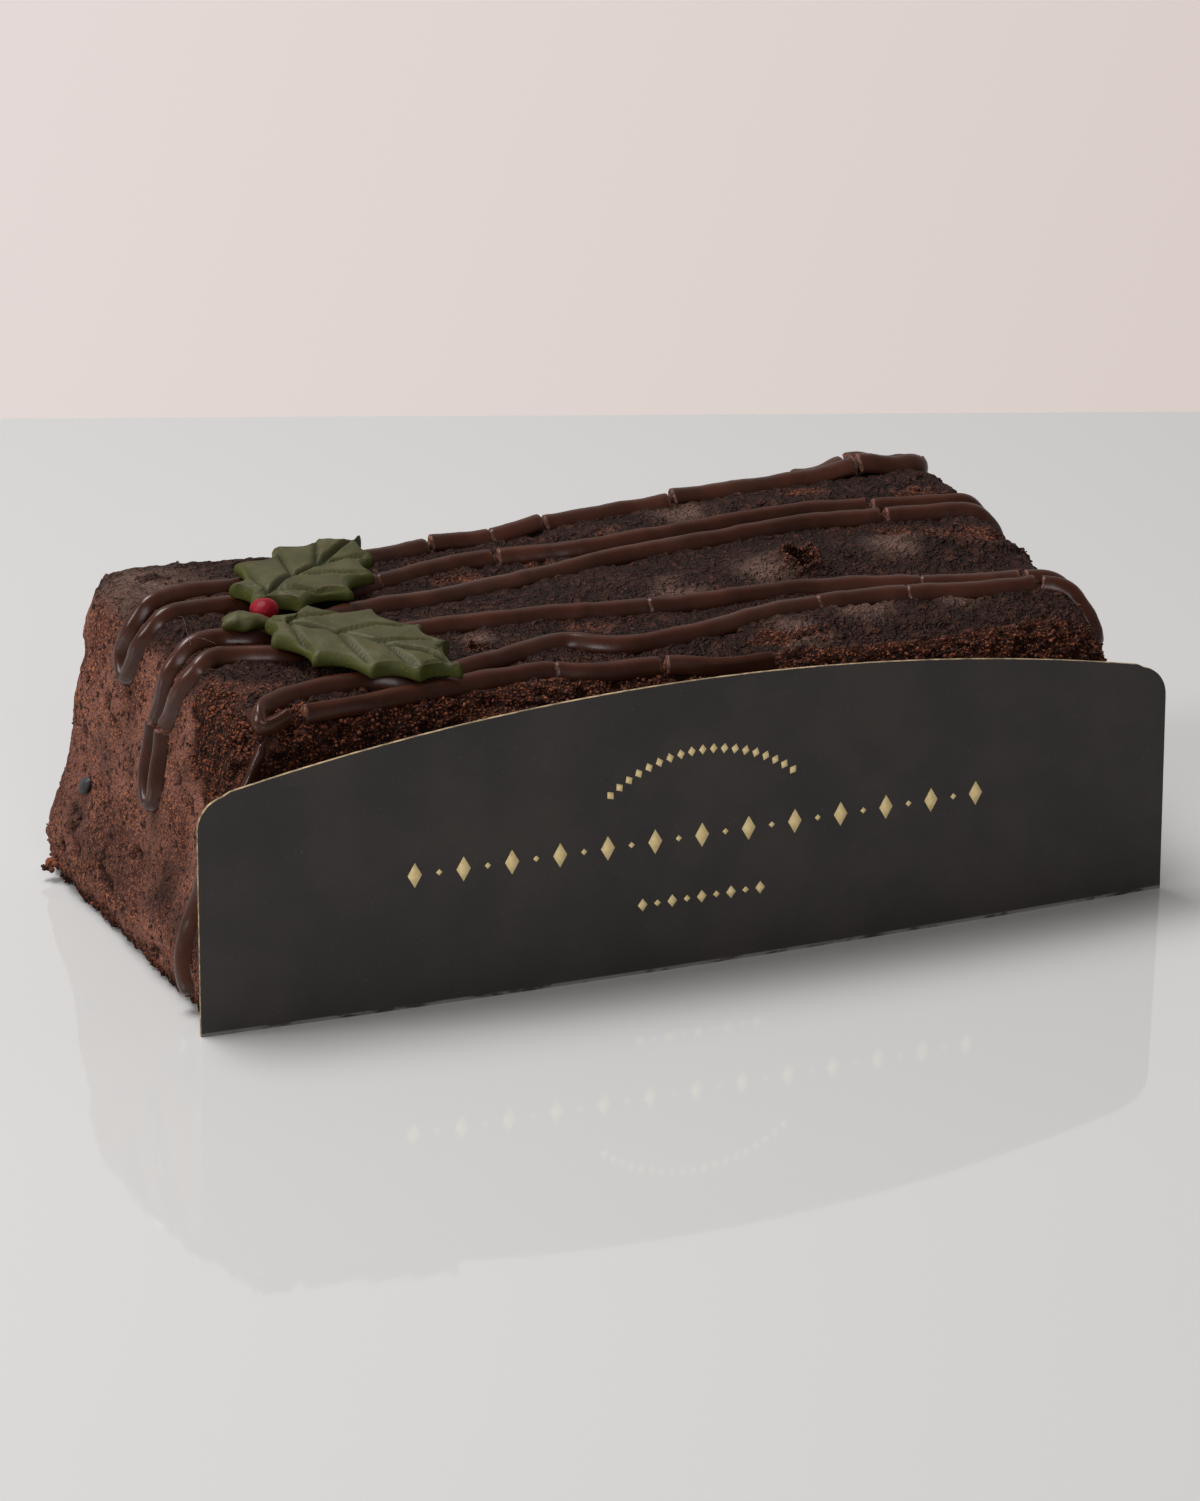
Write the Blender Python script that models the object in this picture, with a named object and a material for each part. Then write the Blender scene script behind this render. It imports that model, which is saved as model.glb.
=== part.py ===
"""Chocolate yule log cake with piped chocolate strands, sugar holly and its folded black card.

Metres, +Z up. The cake's length runs along X, the card stands along its front (-Y) side.
"""

import math

import bmesh
import bpy
import numpy as np
from mathutils import Matrix, Vector, noise
from mathutils.bvhtree import BVHTree

for old in list(bpy.data.objects):
    bpy.data.objects.remove(old, do_unlink=True)

PARTS = bpy.data.collections.new("yule_log_cake")
CUTTERS = bpy.data.collections.new("cutters")
bpy.context.scene.collection.children.link(PARTS)
bpy.context.scene.collection.children.link(CUTTERS)

MM = 0.001
GAP = 0.3
CENTRE_SHIFT = (0.05, -1.44, 0.0)

# Cake, in millimetres
CAKE_LEFT = -91.0
CAKE_RIGHT = 92.0
CAKE_FRONT = -40.0
CAKE_BACK = 43.0
BACK_WIDER = 3.0
LEAN_LEFT = 5.0
LEAN_RIGHT = 4.0
LEAN_RIGHT_FRONT = 2.6
LEAN_FRONT = 2.5
LEAN_BACK = 1.0
FOOT_FLARE = 2.4
FOOT_HEIGHT = 9.0
TOP_FRONT = 54.0
TOP_RISE_TO_BACK = 6.0
TOP_CROWN = 1.6
TOP_DROP_FRONT_RIGHT = 4.0
SAG = 3.2
SAG_X = -24.0
SAG_LONG = 44.0
LOBE_HEIGHT = 0.8
LOBE_PITCH = 26.0
ROUND_CORNER = 2.5
ROUND_TOP = 6.5
ROUND_FOOT = 1.6

# Card
CARD_LENGTH = 190.0
CARD_PEAK = 53.6
CARD_ARCH_RADIUS = 427.0
CARD_CORNER = 6.0
CARD_THICK = 0.6
CARD_FRONT = -43.0
CARD_BOW = 2.2
CARD_LEAN_DEG = 1.75
FLAP_LEFT = -79.0
FLAP_RIGHT = 83.0
FLAP_DEPTH = 66.0

# Piping
STRAND_WIDE = 3.3
STRAND_HIGH = 2.1
STRAND_STEP = 1.5
STRAND_WITHIN = 0.16
STRAND_GAP = 0.4

# Holly
LEAF_THICK = 2.8
LEAF_LIFT = 2.8
BERRY_RADIUS = 2.65
BERRY_HALF_HIGH = 2.0


def material(name, colour, rough, metallic=0.0):
    made = bpy.data.materials.new(name)
    made.use_nodes = True
    shader = made.node_tree.nodes["Principled BSDF"]
    shader.inputs["Base Color"].default_value = (*colour, 1.0)
    shader.inputs["Roughness"].default_value = rough
    shader.inputs["Metallic"].default_value = metallic
    made.diffuse_color = (*colour, 1.0)
    return made


SPONGE = material("chocolate_sponge", (0.055, 0.022, 0.015), 0.8)
CHOCOLATE = material("piped_chocolate", (0.045, 0.020, 0.014), 0.35)
LEAF_SUGAR = material("green_sugar_paste", (0.090, 0.110, 0.035), 0.5)
BERRY_SUGAR = material("red_sugar_paste", (0.420, 0.020, 0.050), 0.4)
BLACK_CARD = material("black_card", (0.022, 0.020, 0.020), 0.55)


def finish(name, bm, mat, collection=PARTS):
    """Puts a millimetre bmesh into the scene as one named object in metres."""
    bmesh.ops.translate(bm, vec=CENTRE_SHIFT, verts=bm.verts)
    bmesh.ops.scale(bm, vec=(MM, MM, MM), verts=bm.verts)
    bmesh.ops.recalc_face_normals(bm, faces=bm.faces)
    mesh = bpy.data.meshes.new(name)
    bm.to_mesh(mesh)
    bm.free()
    mesh.materials.append(mat)
    mesh.shade_smooth()
    made = bpy.data.objects.new(name, mesh)
    collection.objects.link(made)
    return made


def smooth(t):
    t = min(max(t, 0.0), 1.0)
    return t * t * (3.0 - 2.0 * t)


def crust(x, y):
    """Height of the baked top over the point x, y."""
    along = (x - CAKE_LEFT) / (CAKE_RIGHT - CAKE_LEFT)
    back = (y - CAKE_FRONT) / (CAKE_BACK - CAKE_FRONT)
    height = TOP_FRONT + TOP_RISE_TO_BACK * back
    height += TOP_CROWN * (1.0 - (2.0 * back - 1.0) ** 2)
    height -= TOP_DROP_FRONT_RIGHT * along * (1.0 - back)
    height -= SAG * back * math.exp(-(((x - SAG_X) / SAG_LONG) ** 2))
    lobes = math.cos(2.0 * math.pi * (y - 2.0) / LOBE_PITCH)
    height += LOBE_HEIGHT * (0.2 + 0.8 * smooth(along)) * lobes
    height += 0.5 * noise.noise(Vector((x * 0.045, y * 0.06, 3.7)))
    return height


def body(a, b, c):
    """A point of the cube surface (-1 to 1 each way) carried onto the loaf."""
    a = math.copysign(1.0 - (1.0 - abs(a)) ** 1.3, a)
    b = math.copysign(1.0 - (1.0 - abs(b)) ** 1.25, b)
    up = 0.5 * (c + 1.0)
    x = 0.5 * (CAKE_LEFT + CAKE_RIGHT) + 0.5 * (CAKE_RIGHT - CAKE_LEFT) * a
    back = CAKE_BACK + BACK_WIDER * (0.5 + 0.5 * a) ** 2
    y = 0.5 * (CAKE_FRONT + back) + 0.5 * (back - CAKE_FRONT) * b
    top = crust(x, y)
    z = up * top
    p = Vector((x, y, z))
    soft = ROUND_CORNER + (ROUND_TOP - ROUND_CORNER) * smooth((z - 28.0) / 24.0)
    low = Vector((CAKE_LEFT + soft, CAKE_FRONT + soft, ROUND_FOOT))
    high = Vector((CAKE_RIGHT - soft, back - soft, top - ROUND_TOP))
    core = Vector(min(max(p[i], low[i]), high[i]) for i in range(3))
    radii = Vector((soft, soft, ROUND_FOOT if z < ROUND_FOOT else ROUND_TOP))
    out = Vector((p[i] - core[i]) / radii[i] for i in range(3))
    if out.length > 1e-6:
        out.normalize()
        p = core + Vector(out[i] * radii[i] for i in range(3))
    flare = FOOT_FLARE * math.exp(-(((p.z - FOOT_HEIGHT) / 8.0) ** 2))
    flare += 0.7 * noise.noise(Vector((p.x * 0.05, p.y * 0.05, p.z * 0.08)))
    forward = 0.5 - 0.5 * b
    lean_x = LEAN_RIGHT + LEAN_RIGHT_FRONT * forward**2 if a > 0.0 else LEAN_LEFT
    lean_y = LEAN_BACK if b > 0.0 else LEAN_FRONT
    side_x = math.copysign(max(abs(a) * 1.6 - 0.6, 0.0) ** 2, a)
    side_y = math.copysign(max(abs(b) * 1.6 - 0.6, 0.0) ** 2, b)
    p.x += side_x * (flare - lean_x * p.z / 50.0)
    p.y += side_y * (flare - lean_y * p.z / 50.0)
    return p


def along_axis(bm, axis):
    """The edges of an untransformed cube grid that run along one axis."""
    found = []
    for edge in bm.edges:
        d = edge.verts[1].co - edge.verts[0].co
        if abs(d[axis]) > 0.9 * d.length:
            found.append(edge)
    return found


def loaf(cuts):
    """A closed loaf from a cube, cut into a grid and carried onto the cake's form."""
    bm = bmesh.new()
    bmesh.ops.create_cube(bm, size=2.0)
    for axis in range(3):
        edges = along_axis(bm, axis)
        bmesh.ops.subdivide_edges(bm, edges=edges, cuts=cuts[axis], use_grid_fill=True)
    for vert in bm.verts:
        vert.co = body(*vert.co)
    return bm


def cutter(name, bm):
    made = finish(name, bm, SPONGE, CUTTERS)
    made.hide_render = True
    made.display_type = "WIRE"
    return made


def boolean(target, other, operation):
    step = target.modifiers.new(other.name, "BOOLEAN")
    step.operation = operation
    step.solver = "EXACT"
    step.object = other


def box(x0, x1, y0, y1, z0, z1):
    bm = bmesh.new()
    bmesh.ops.create_cube(bm, size=1.0)
    bmesh.ops.scale(bm, vec=(x1 - x0, y1 - y0, z1 - z0), verts=bm.verts)
    centre = (0.5 * (x0 + x1), 0.5 * (y0 + y1), 0.5 * (z0 + z1))
    bmesh.ops.translate(bm, vec=centre, verts=bm.verts)
    return bm


def torn_hole(x, y, wide, long, deep):
    bm = bmesh.new()
    bmesh.ops.create_icosphere(bm, subdivisions=2, radius=1.0)
    for vert in bm.verts:
        rough = 1.0 + 0.25 * noise.noise(vert.co * 1.7 + Vector((x, y, 0.0)))
        vert.co = Vector((vert.co.x * long, vert.co.y * wide, vert.co.z * deep)) * rough
    bmesh.ops.translate(bm, vec=(x, y, crust(x, y)), verts=bm.verts)
    return bm


# The cake, its two blow-holes and the shallow seat under it for the card's flap
loaf_mesh = loaf((34, 15, 9))
for vert in loaf_mesh.verts:
    if vert.co.z < 0.01:
        vert.co.z = 0.0
under = [f for f in loaf_mesh.faces if all(v.co.z == 0.0 for v in f.verts)]
bmesh.ops.dissolve_faces(loaf_mesh, faces=under)
cake = finish("cake_log", loaf_mesh, SPONGE)
flap_seat = cutter(
    "flap_seat",
    box(
        FLAP_LEFT - GAP,
        FLAP_RIGHT + GAP,
        CARD_FRONT - 6.0,
        CARD_FRONT + FLAP_DEPTH + GAP,
        -1.0,
        CARD_THICK + GAP,
    ),
)
boolean(cake, flap_seat, "DIFFERENCE")
boolean(cake, cutter("blow_hole", torn_hole(40.0, 0.5, 1.9, 2.3, 3.2)), "DIFFERENCE")
boolean(cake, cutter("small_hole", torn_hole(-33.0, -18.0, 1.2, 1.5, 2.2)), "DIFFERENCE")

# A smooth, finer loaf without the holes guides everything that lies on the cake
guide = loaf((90, 44, 30))
bmesh.ops.recalc_face_normals(guide, faces=guide.faces)
SURFACE = BVHTree.FromBMesh(guide)
guide.free()


def spline(points, step):
    """Evenly spaced points on a smooth curve through the given ones."""
    pts = [Vector(p) for p in points]
    pts = [2 * pts[0] - pts[1]] + pts + [2 * pts[-1] - pts[-2]]
    fine = []
    for i in range(1, len(pts) - 2):
        p0, p1, p2, p3 = pts[i - 1 : i + 3]
        for k in range(24):
            t = k / 24.0
            fine.append(
                0.5
                * (
                    2 * p1
                    + (p2 - p0) * t
                    + (2 * p0 - 5 * p1 + 4 * p2 - p3) * t * t
                    + (3 * p1 - p0 - 3 * p2 + p3) * t * t * t
                )
            )
    fine.append(pts[-2])
    far = np.cumsum([0.0] + [(fine[i + 1] - fine[i]).length for i in range(len(fine) - 1)])
    count = max(2, round(far[-1] / step))
    even = np.linspace(0.0, far[-1], count + 1)
    return [Vector(np.interp(s, far, [p[i] for p in fine]) for i in range(3)) for s in even]


def on_cake(point):
    """The nearest point of the cake's surface, and the way out of it."""
    place, normal, _, _ = SURFACE.find_nearest(point)
    return place, normal


def thinned(points, within):
    """Which points to keep so that straight runs between them stay this near the rest."""
    keep = {0, len(points) - 1}
    spans = [(0, len(points) - 1)]
    while spans:
        i, j = spans.pop()
        run = (points[j] - points[i]).normalized()
        far, worst = within, None
        for k in range(i + 1, j):
            d = points[k] - points[i]
            off = (d - run * d.dot(run)).length
            if off > far:
                far, worst = off, k
        if worst is not None:
            keep.add(worst)
            spans += [(i, worst), (worst, j)]
    return sorted(keep)


def strand(name, points, wide=STRAND_WIDE, high=STRAND_HIGH, start=1.0):
    """A piped strand: a D-shaped bar bent along its path over the cake."""
    found = [on_cake(point) for point in spline(points, STRAND_STEP)]
    found = [found[i] for i in thinned([place for place, _ in found], STRAND_WITHIN)]
    seats = [place for place, _ in found]
    count = len(seats) - 1
    ups = [
        (found[max(i - 1, 0)][1] + 2 * found[i][1] + found[min(i + 1, count)][1]).normalized()
        for i in range(count + 1)
    ]
    bm = bmesh.new()
    turn = Matrix.Rotation(math.radians(90.0), 4, "Y")
    bmesh.ops.create_cone(
        bm,
        cap_ends=True,
        segments=8,
        radius1=1.0,
        radius2=1.0,
        depth=count,
        matrix=Matrix.Translation((0.5 * count, 0.0, 0.0)) @ turn,
    )
    for i in range(1, count):
        geom = bm.verts[:] + bm.edges[:] + bm.faces[:]
        bmesh.ops.bisect_plane(bm, geom=geom, plane_co=(i, 0, 0), plane_no=(1, 0, 0))
    for vert in bm.verts:
        i = min(max(round(vert.co.x), 0), count)
        back = (seats[i] - seats[max(i - 1, 0)]).normalized()
        on = (seats[min(i + 1, count)] - seats[i]).normalized()
        ahead = (back + on).normalized()
        side = ups[i].cross(ahead).normalized()
        up = ahead.cross(side).normalized()
        size = start + (1.0 - start) * smooth(2.0 * i / count)
        above = STRAND_GAP + (0.5 + 0.5 * vert.co.z) * high * size
        vert.co = seats[i] + side * (vert.co.y * 0.5 * wide * size) + up * above
    return finish(name, bm, CHOCOLATE)


def top(x, y):
    return (x, y, crust(x, y))


# Strands over the top and ends, from the back to the front of the cake
STRANDS = {
    "piping_back_tip": [
        top(71, 38), top(80, 37.5), top(85.5, 38.5), top(85.5, 42), top(80, 44), top(72, 44),
    ],
    "piping_back_return": [top(70.5, 44), top(66, 44), top(59, 43)],
    "piping_1c": [top(31, 36.5), top(50, 37.5), top(70, 38)],
    "piping_1b": [top(4, 35), top(16, 35.5), top(30, 35.5)],
    "piping_1a": [top(-20, 33), top(-6, 32.5), top(3, 34)],
    "piping_left_loop_back": [
        top(-21, 32.5), top(-34, 28.5), top(-50, 22.5), top(-64, 20), top(-75, 18.5),
        top(-82, 16), (-86, 16, 55), (-87, 18, 50), (-87.5, 15.5, 46), (-87, 12, 50),
        (-85.5, 9.5, 56), top(-81, 9.5), top(-72, 11), top(-60, 12), top(-47, 15),
        top(-35, 18.3), top(-20, 22.5), top(-12, 22.5),
    ],
    "piping_2": [top(-11, 22.4), top(0, 20.7), top(8, 19.7), top(30, 20.8), top(51, 21.5), top(64, 20.5)],
    "piping_right_loop_back": [
        top(65, 20.3), top(78, 19), top(84, 18.3), (88, 17, 53), (89.5, 16, 47),
        (90, 13.8, 43), (89.5, 12, 47), (88, 12.4, 53), top(83, 14.6), top(76, 15.8),
        top(66, 16.5),
    ],
    "piping_3": [
        top(65, 16.6), top(49, 17.3), top(28, 15.6), top(6, 13.3), top(-15, 9.8),
        top(-30, 5.6), top(-43, 4.5), top(-56, 0), top(-68, -4.5), top(-76, -3),
        top(-81.5, -4), (-85, -5, 56), (-87, -4, 51), (-87.8, -1, 43.5),
    ],
    "piping_left_loop_middle": [
        (-87.8, 0, 43), (-88.6, 0.5, 37), (-89.3, -0.5, 31.5), (-89.6, -3, 28.5),
        (-89.4, -5, 31.5), (-88.6, -4.7, 37), (-87.8, -4.6, 43),
    ],
    "piping_4": [
        (-87.7, -5.5, 44), (-86.8, -10, 51), (-84, -12.3, 56.5), top(-79.5, -10.5),
        top(-74, -11), top(-67, -12.5), top(-56, -12), top(-46, -8), top(-36, -6.5),
        top(-23, -7), top(-11, -7.5), top(4, -9), top(16, -9.5), top(36, -10),
        top(55, -13), top(74, -16.5), top(77, -17.3),
    ],
    "piping_right_loop_front": [
        top(78, -17.6), (83.5, -20.5, 54.6), (87.4, -25, 49.8), (88.6, -28, 45.5),
        (88.2, -31.2, 44.8), (86.2, -30, 49.3), (83.2, -26.4, 53.1), top(79, -22),
    ],
    "piping_5": [
        top(78, -21.4), top(66, -20.4), top(52, -18.5), top(44, -18), top(32, -18),
        top(20, -20.5), top(9, -23), top(-3, -24.5), top(-11, -23.5), top(-18, -20.5),
        top(-29, -23.5), top(-39, -26), top(-49, -28.3), top(-57, -26.5), top(-64, -27),
        top(-72, -29), top(-76.5, -30.8), (-79.6, -32.3, 53.9), (-80.6, -34.4, 52.2),
        (-78.2, -35.4, 53), top(-75, -34.9),
    ],
    "piping_6a": [
        top(-72.5, -34.8), top(-63, -34), top(-53, -32.3), top(-34, -30.8),
        top(-25, -30.3), top(-14.5, -32), top(-3, -32),
    ],
    "piping_6b": [top(-2, -32), top(8, -34), top(19, -34)],
}
for strand_name, strand_path in STRANDS.items():
    strand(strand_name, strand_path)
strand(
    "piping_drip",
    [
        (-81, -37.5, 51), (-84.5, -38.5, 43), (-87.5, -34, 33), (-90, -29.5, 22),
        (-92, -29, 12), (-93.5, -31.5, 3),
    ],
    wide=4.0,
    start=0.5,
)


def holly_outline(length, left, right):
    """A holly leaf's edge: spines joined by hollow curves, from its stem round to it again."""
    stations = ((0.0, 0.10), (0.10, 0.62), (0.36, 1.0), (0.64, 0.86), (0.84, 0.50), (1.0, 0.0))
    edge = []
    for half in (-right, left):
        spines = [Vector((length * u, half * v)) for u, v in stations]
        if half > 0.0:
            spines.reverse()
        for a, b in zip(spines, spines[1:]):
            chord = b - a
            inward = Vector((0.5 * length, 0.0)) - 0.5 * (a + b)
            inward = (inward - chord * (inward.dot(chord) / chord.length_squared)).normalized()
            for k in range(4):
                t = k / 4.0
                hollow = 0.22 * chord.length * 4.0 * t * (1.0 - t)
                edge.append(a + chord * t + inward * hollow)
        edge.append(spines[-1])
    kept = []
    for point in edge:
        if not kept or (point - kept[-1]).length > 0.3:
            kept.append(point)
    return kept if (kept[0] - kept[-1]).length > 0.3 else kept[:-1]


LEAF_SECTION = ((0.93, 0.0), (1.0, 0.35), (0.97, 0.78), (0.86, 1.0), (0.5, 1.0), (0.14, 0.78))


def leaf(name, x, y, heading_deg, length, left, right):
    """A moulded leaf with a sunk midrib, laid over the crust on the piping."""
    edge = holly_outline(length, left, right)
    heading = math.radians(heading_deg)
    bm = bmesh.new()
    rings = []
    for spread, rise in LEAF_SECTION:
        ring = []
        for point in edge:
            rib = Vector((min(max(point.x, 0.12 * length), 0.88 * length), 0.0))
            u, v = rib + (point - rib) * spread
            px = x + u * math.cos(heading) - v * math.sin(heading)
            py = y + u * math.sin(heading) + v * math.cos(heading)
            ring.append(bm.verts.new((px, py, crust(px, py) + LEAF_LIFT + LEAF_THICK * rise)))
        rings.append([bm.edges.new((a, b)) for a, b in zip(ring, ring[1:] + ring[:1])])
    for low, high in zip(rings, rings[1:]):
        bmesh.ops.bridge_loops(bm, edges=low + high)
    bmesh.ops.contextual_create(bm, geom=rings[0])
    bmesh.ops.contextual_create(bm, geom=rings[-1])
    bmesh.ops.triangulate(bm, faces=[f for f in bm.faces if len(f.verts) > 4])
    return finish(name, bm, LEAF_SUGAR)


leaf("holly_leaf_back", -66.5, 2.5, 40.5, 41.0, 12.5, 12.0)
leaf("holly_leaf_front", -68.0, -6.7, -47.5, 38.5, 16.5, 11.0)
leaf("holly_stub", -69.3, -5.0, 165.0, 6.5, 3.2, 3.2)

BERRY = Vector((-66.8, -2.0, crust(-66.8, -2.0) + 4.9))
berry = bmesh.new()
bmesh.ops.create_uvsphere(berry, u_segments=14, v_segments=9, radius=BERRY_RADIUS)
flat = (1.0, 1.0, BERRY_HALF_HIGH / BERRY_RADIUS)
bmesh.ops.scale(berry, vec=flat, verts=berry.verts)
bmesh.ops.translate(berry, vec=BERRY, verts=berry.verts)
finish("holly_berry", berry, BERRY_SUGAR)


def bow(bm):
    """Curves card laid flat along X, and leans its upright panel back."""
    for x in np.linspace(-88.0, 88.0, 23):
        geom = bm.verts[:] + bm.edges[:] + bm.faces[:]
        bmesh.ops.bisect_plane(bm, geom=geom, plane_co=(x, 0, 0), plane_no=(1, 0, 0))
    for vert in bm.verts:
        x, y, z = vert.co
        fade = 1.0 - min(max(y / FLAP_DEPTH, 0.0), 1.0)
        forward = CARD_BOW * (1.0 - (2.0 * x / CARD_LENGTH) ** 2) * fade
        vert.co.y = CARD_FRONT + y - forward + math.tan(math.radians(CARD_LEAN_DEG)) * z
    return bm


def card_panel():
    """The upright panel: straight sides, rounded shoulders and a shallow arched top."""
    half = 0.5 * CARD_LENGTH
    shoulder = half - CARD_CORNER
    drop = CARD_ARCH_RADIUS - math.sqrt(CARD_ARCH_RADIUS**2 - shoulder**2)
    low = CARD_PEAK - drop - CARD_CORNER - 0.6
    edge = [(-half, 0.0), (half, 0.0)]
    for k in range(6):
        turn = math.radians(18.0 * k * 0.86)
        edge.append((shoulder + CARD_CORNER * math.cos(turn), low + CARD_CORNER * math.sin(turn)))
    for x in np.linspace(shoulder, -shoulder, 25):
        drop = CARD_ARCH_RADIUS - math.sqrt(CARD_ARCH_RADIUS**2 - x * x)
        edge.append((x, CARD_PEAK - drop))
    for k in range(5, -1, -1):
        turn = math.radians(18.0 * k * 0.86)
        edge.append((-shoulder - CARD_CORNER * math.cos(turn), low + CARD_CORNER * math.sin(turn)))
    bm = bmesh.new()
    face = bm.faces.new([bm.verts.new((x, 0.0, z)) for x, z in edge])
    grown = bmesh.ops.extrude_face_region(bm, geom=[face])
    moved = [g for g in grown["geom"] if isinstance(g, bmesh.types.BMVert)]
    bmesh.ops.translate(bm, vec=(0.0, CARD_THICK, 0.0), verts=moved)
    return bm


card = finish("card", bow(card_panel()), BLACK_CARD)
flap = box(FLAP_LEFT, FLAP_RIGHT, 0.3, FLAP_DEPTH, 0.0, CARD_THICK)
boolean(card, cutter("card_flap", bow(flap)), "UNION")
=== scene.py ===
"""Chocolate yule log cake with piped strands, sugar holly and its folded black card.

Every piece is shaped in millimetres about the cake's middle, then set down in metres by settle().
"""

import math

import bmesh
import bpy
import numpy as np
from mathutils import Matrix, Vector, noise
from mathutils.bvhtree import BVHTree


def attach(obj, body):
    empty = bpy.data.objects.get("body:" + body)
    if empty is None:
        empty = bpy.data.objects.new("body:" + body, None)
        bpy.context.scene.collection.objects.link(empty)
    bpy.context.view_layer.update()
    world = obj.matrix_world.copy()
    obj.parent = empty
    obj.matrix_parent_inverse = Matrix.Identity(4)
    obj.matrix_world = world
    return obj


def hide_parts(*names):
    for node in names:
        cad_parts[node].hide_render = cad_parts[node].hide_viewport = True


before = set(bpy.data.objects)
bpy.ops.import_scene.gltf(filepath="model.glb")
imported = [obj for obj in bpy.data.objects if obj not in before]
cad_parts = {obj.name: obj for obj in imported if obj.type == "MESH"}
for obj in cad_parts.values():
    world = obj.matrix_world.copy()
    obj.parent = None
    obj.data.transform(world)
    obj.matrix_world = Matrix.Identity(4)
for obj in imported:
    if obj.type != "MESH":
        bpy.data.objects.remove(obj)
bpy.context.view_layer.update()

MM = 0.001
CENTRE_SHIFT = Vector((0.05, -1.44, 0.0))

# Cake, in millimetres, as in the part
CAKE_LEFT, CAKE_RIGHT = -91.0, 92.0
CAKE_FRONT, CAKE_BACK, BACK_WIDER = -40.0, 43.0, 3.0
LEAN_LEFT, LEAN_RIGHT, LEAN_RIGHT_FRONT = 5.0, 4.0, 2.6
LEAN_FRONT, LEAN_BACK = 2.5, 1.0
FOOT_FLARE, FOOT_HEIGHT = 2.4, 9.0
TOP_FRONT, TOP_RISE_TO_BACK, TOP_CROWN = 54.0, 6.0, 1.6
TOP_DROP_FRONT_RIGHT = 4.0
SAG, SAG_X, SAG_LONG = 3.2, -24.0, 44.0
LOBE_HEIGHT, LOBE_PITCH = 0.8, 26.0
ROUND_CORNER, ROUND_TOP, ROUND_FOOT = 2.5, 6.5, 1.6

# Card
CARD_LENGTH, CARD_PEAK, CARD_ARCH_RADIUS = 190.0, 53.6, 427.0
CARD_CORNER, CARD_THICK, CARD_FRONT = 6.0, 0.6, -43.0
CARD_BOW, CARD_LEAN_DEG = 2.2, 1.75
FLAP_LEFT, FLAP_RIGHT, FLAP_DEPTH = -79.0, 83.0, 66.0


# ---------------------------------------------------------------- finishes


class Signal:
    """A value on its way through a node tree: sums on it add Math nodes."""

    def __init__(self, wiring, socket):
        self.wiring, self.socket = wiring, socket

    def maths(self, operation, a, b):
        return self.wiring.node("ShaderNodeMath", {"operation": operation}, {0: a, 1: b})

    def __add__(self, other):
        return self.maths("ADD", self, other)

    def __sub__(self, other):
        return self.maths("SUBTRACT", self, other)

    def __mul__(self, other):
        return self.maths("MULTIPLY", self, other)

    def __rsub__(self, other):
        return self.maths("SUBTRACT", other, self)

    __radd__ = __add__
    __rmul__ = __mul__

    def most(self, other):
        return self.maths("MAXIMUM", self, other)

    def between(self, low, high, start=0.0, end=1.0, ease="SMOOTHSTEP"):
        """start below low, end above high and a rise between them, soft unless ease is LINEAR."""
        sockets = {0: self, 1: low, 2: high, 3: start, 4: end}
        return self.wiring.node("ShaderNodeMapRange", {"interpolation_type": ease}, sockets)


class Wiring:
    """A node tree in the making; node() adds every node that isn't a sum."""

    def __init__(self, tree):
        self.tree = tree

    def node(self, kind, settings, sockets, output=0):
        made = self.tree.nodes.new(kind)
        for key, value in settings.items():
            setattr(made, key, value)
        for key, value in sockets.items():
            if isinstance(value, Signal):
                self.tree.links.new(value.socket, made.inputs[key])
            else:
                made.inputs[key].default_value = value
        return Signal(self, made.outputs[output])

    def mix(self, share, a, b):
        a, b = [c if isinstance(c, Signal) else (*c, 1.0) for c in (a, b)]
        return self.node("ShaderNodeMix", {"data_type": "RGBA"}, {0: share, 6: a, 7: b}, 2)


class Finish(Wiring):
    """A material in the making, with patterns placed in the piece's own coordinates."""

    def __init__(self, name, **constants):
        self.material = bpy.data.materials.new(name)
        self.material.use_nodes = True
        super().__init__(self.material.node_tree)
        self.shader = self.tree.nodes["Principled BSDF"]
        for socket, value in constants.items():
            self.shader.inputs[socket.replace("_", " ")].default_value = value
        self.place = self.node("ShaderNodeTexCoord", {}, {}, "Object")

    def grain(self, size, detail=3.0, rough=0.55, along=None, shift=0.0):
        """Soft noise whose lumps are this many millimetres across."""
        place = self.place
        if along or shift:
            sockets = {"Scale": along or (1.0, 1.0, 1.0), "Location": (shift,) * 3}
            place = self.node("ShaderNodeMapping", {}, {"Vector": place, **sockets})
        sockets = {"Vector": place, "Scale": 1.0 / (size * MM), "Detail": detail, "Roughness": rough}
        return self.node("ShaderNodeTexNoise", {}, sockets, "Fac")

    def cells(self, size, feature="F1", warp=0.0):
        """Distance in cells this many millimetres apart, pushed out of line by up to warp millimetres."""
        place = self.place
        if warp:
            sockets = {"Vector": place, "Scale": 1.0 / (size * MM), "Detail": 2.0}
            push = self.node("ShaderNodeTexNoise", {}, sockets, "Color")
            sockets = {0: push, 1: (warp * MM,) * 3, 2: place}
            place = self.node("ShaderNodeVectorMath", {"operation": "MULTIPLY_ADD"}, sockets)
        sockets = {"Vector": place, "Scale": 1.0 / (size * MM)}
        return self.node("ShaderNodeTexVoronoi", {"feature": feature}, sockets, "Distance")

    def mask(self, name):
        return self.node("ShaderNodeAttribute", {"attribute_name": name}, {}, "Fac")

    def bump(self, height, depth, strength):
        sockets = {"Height": height, "Distance": depth * MM, "Strength": strength}
        return self.node("ShaderNodeBump", {}, sockets)

    def feed(self, **signals):
        for socket, value in signals.items():
            self.tree.links.new(value.socket, self.shader.inputs[socket.replace("_", " ")])
        return self.material


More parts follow.
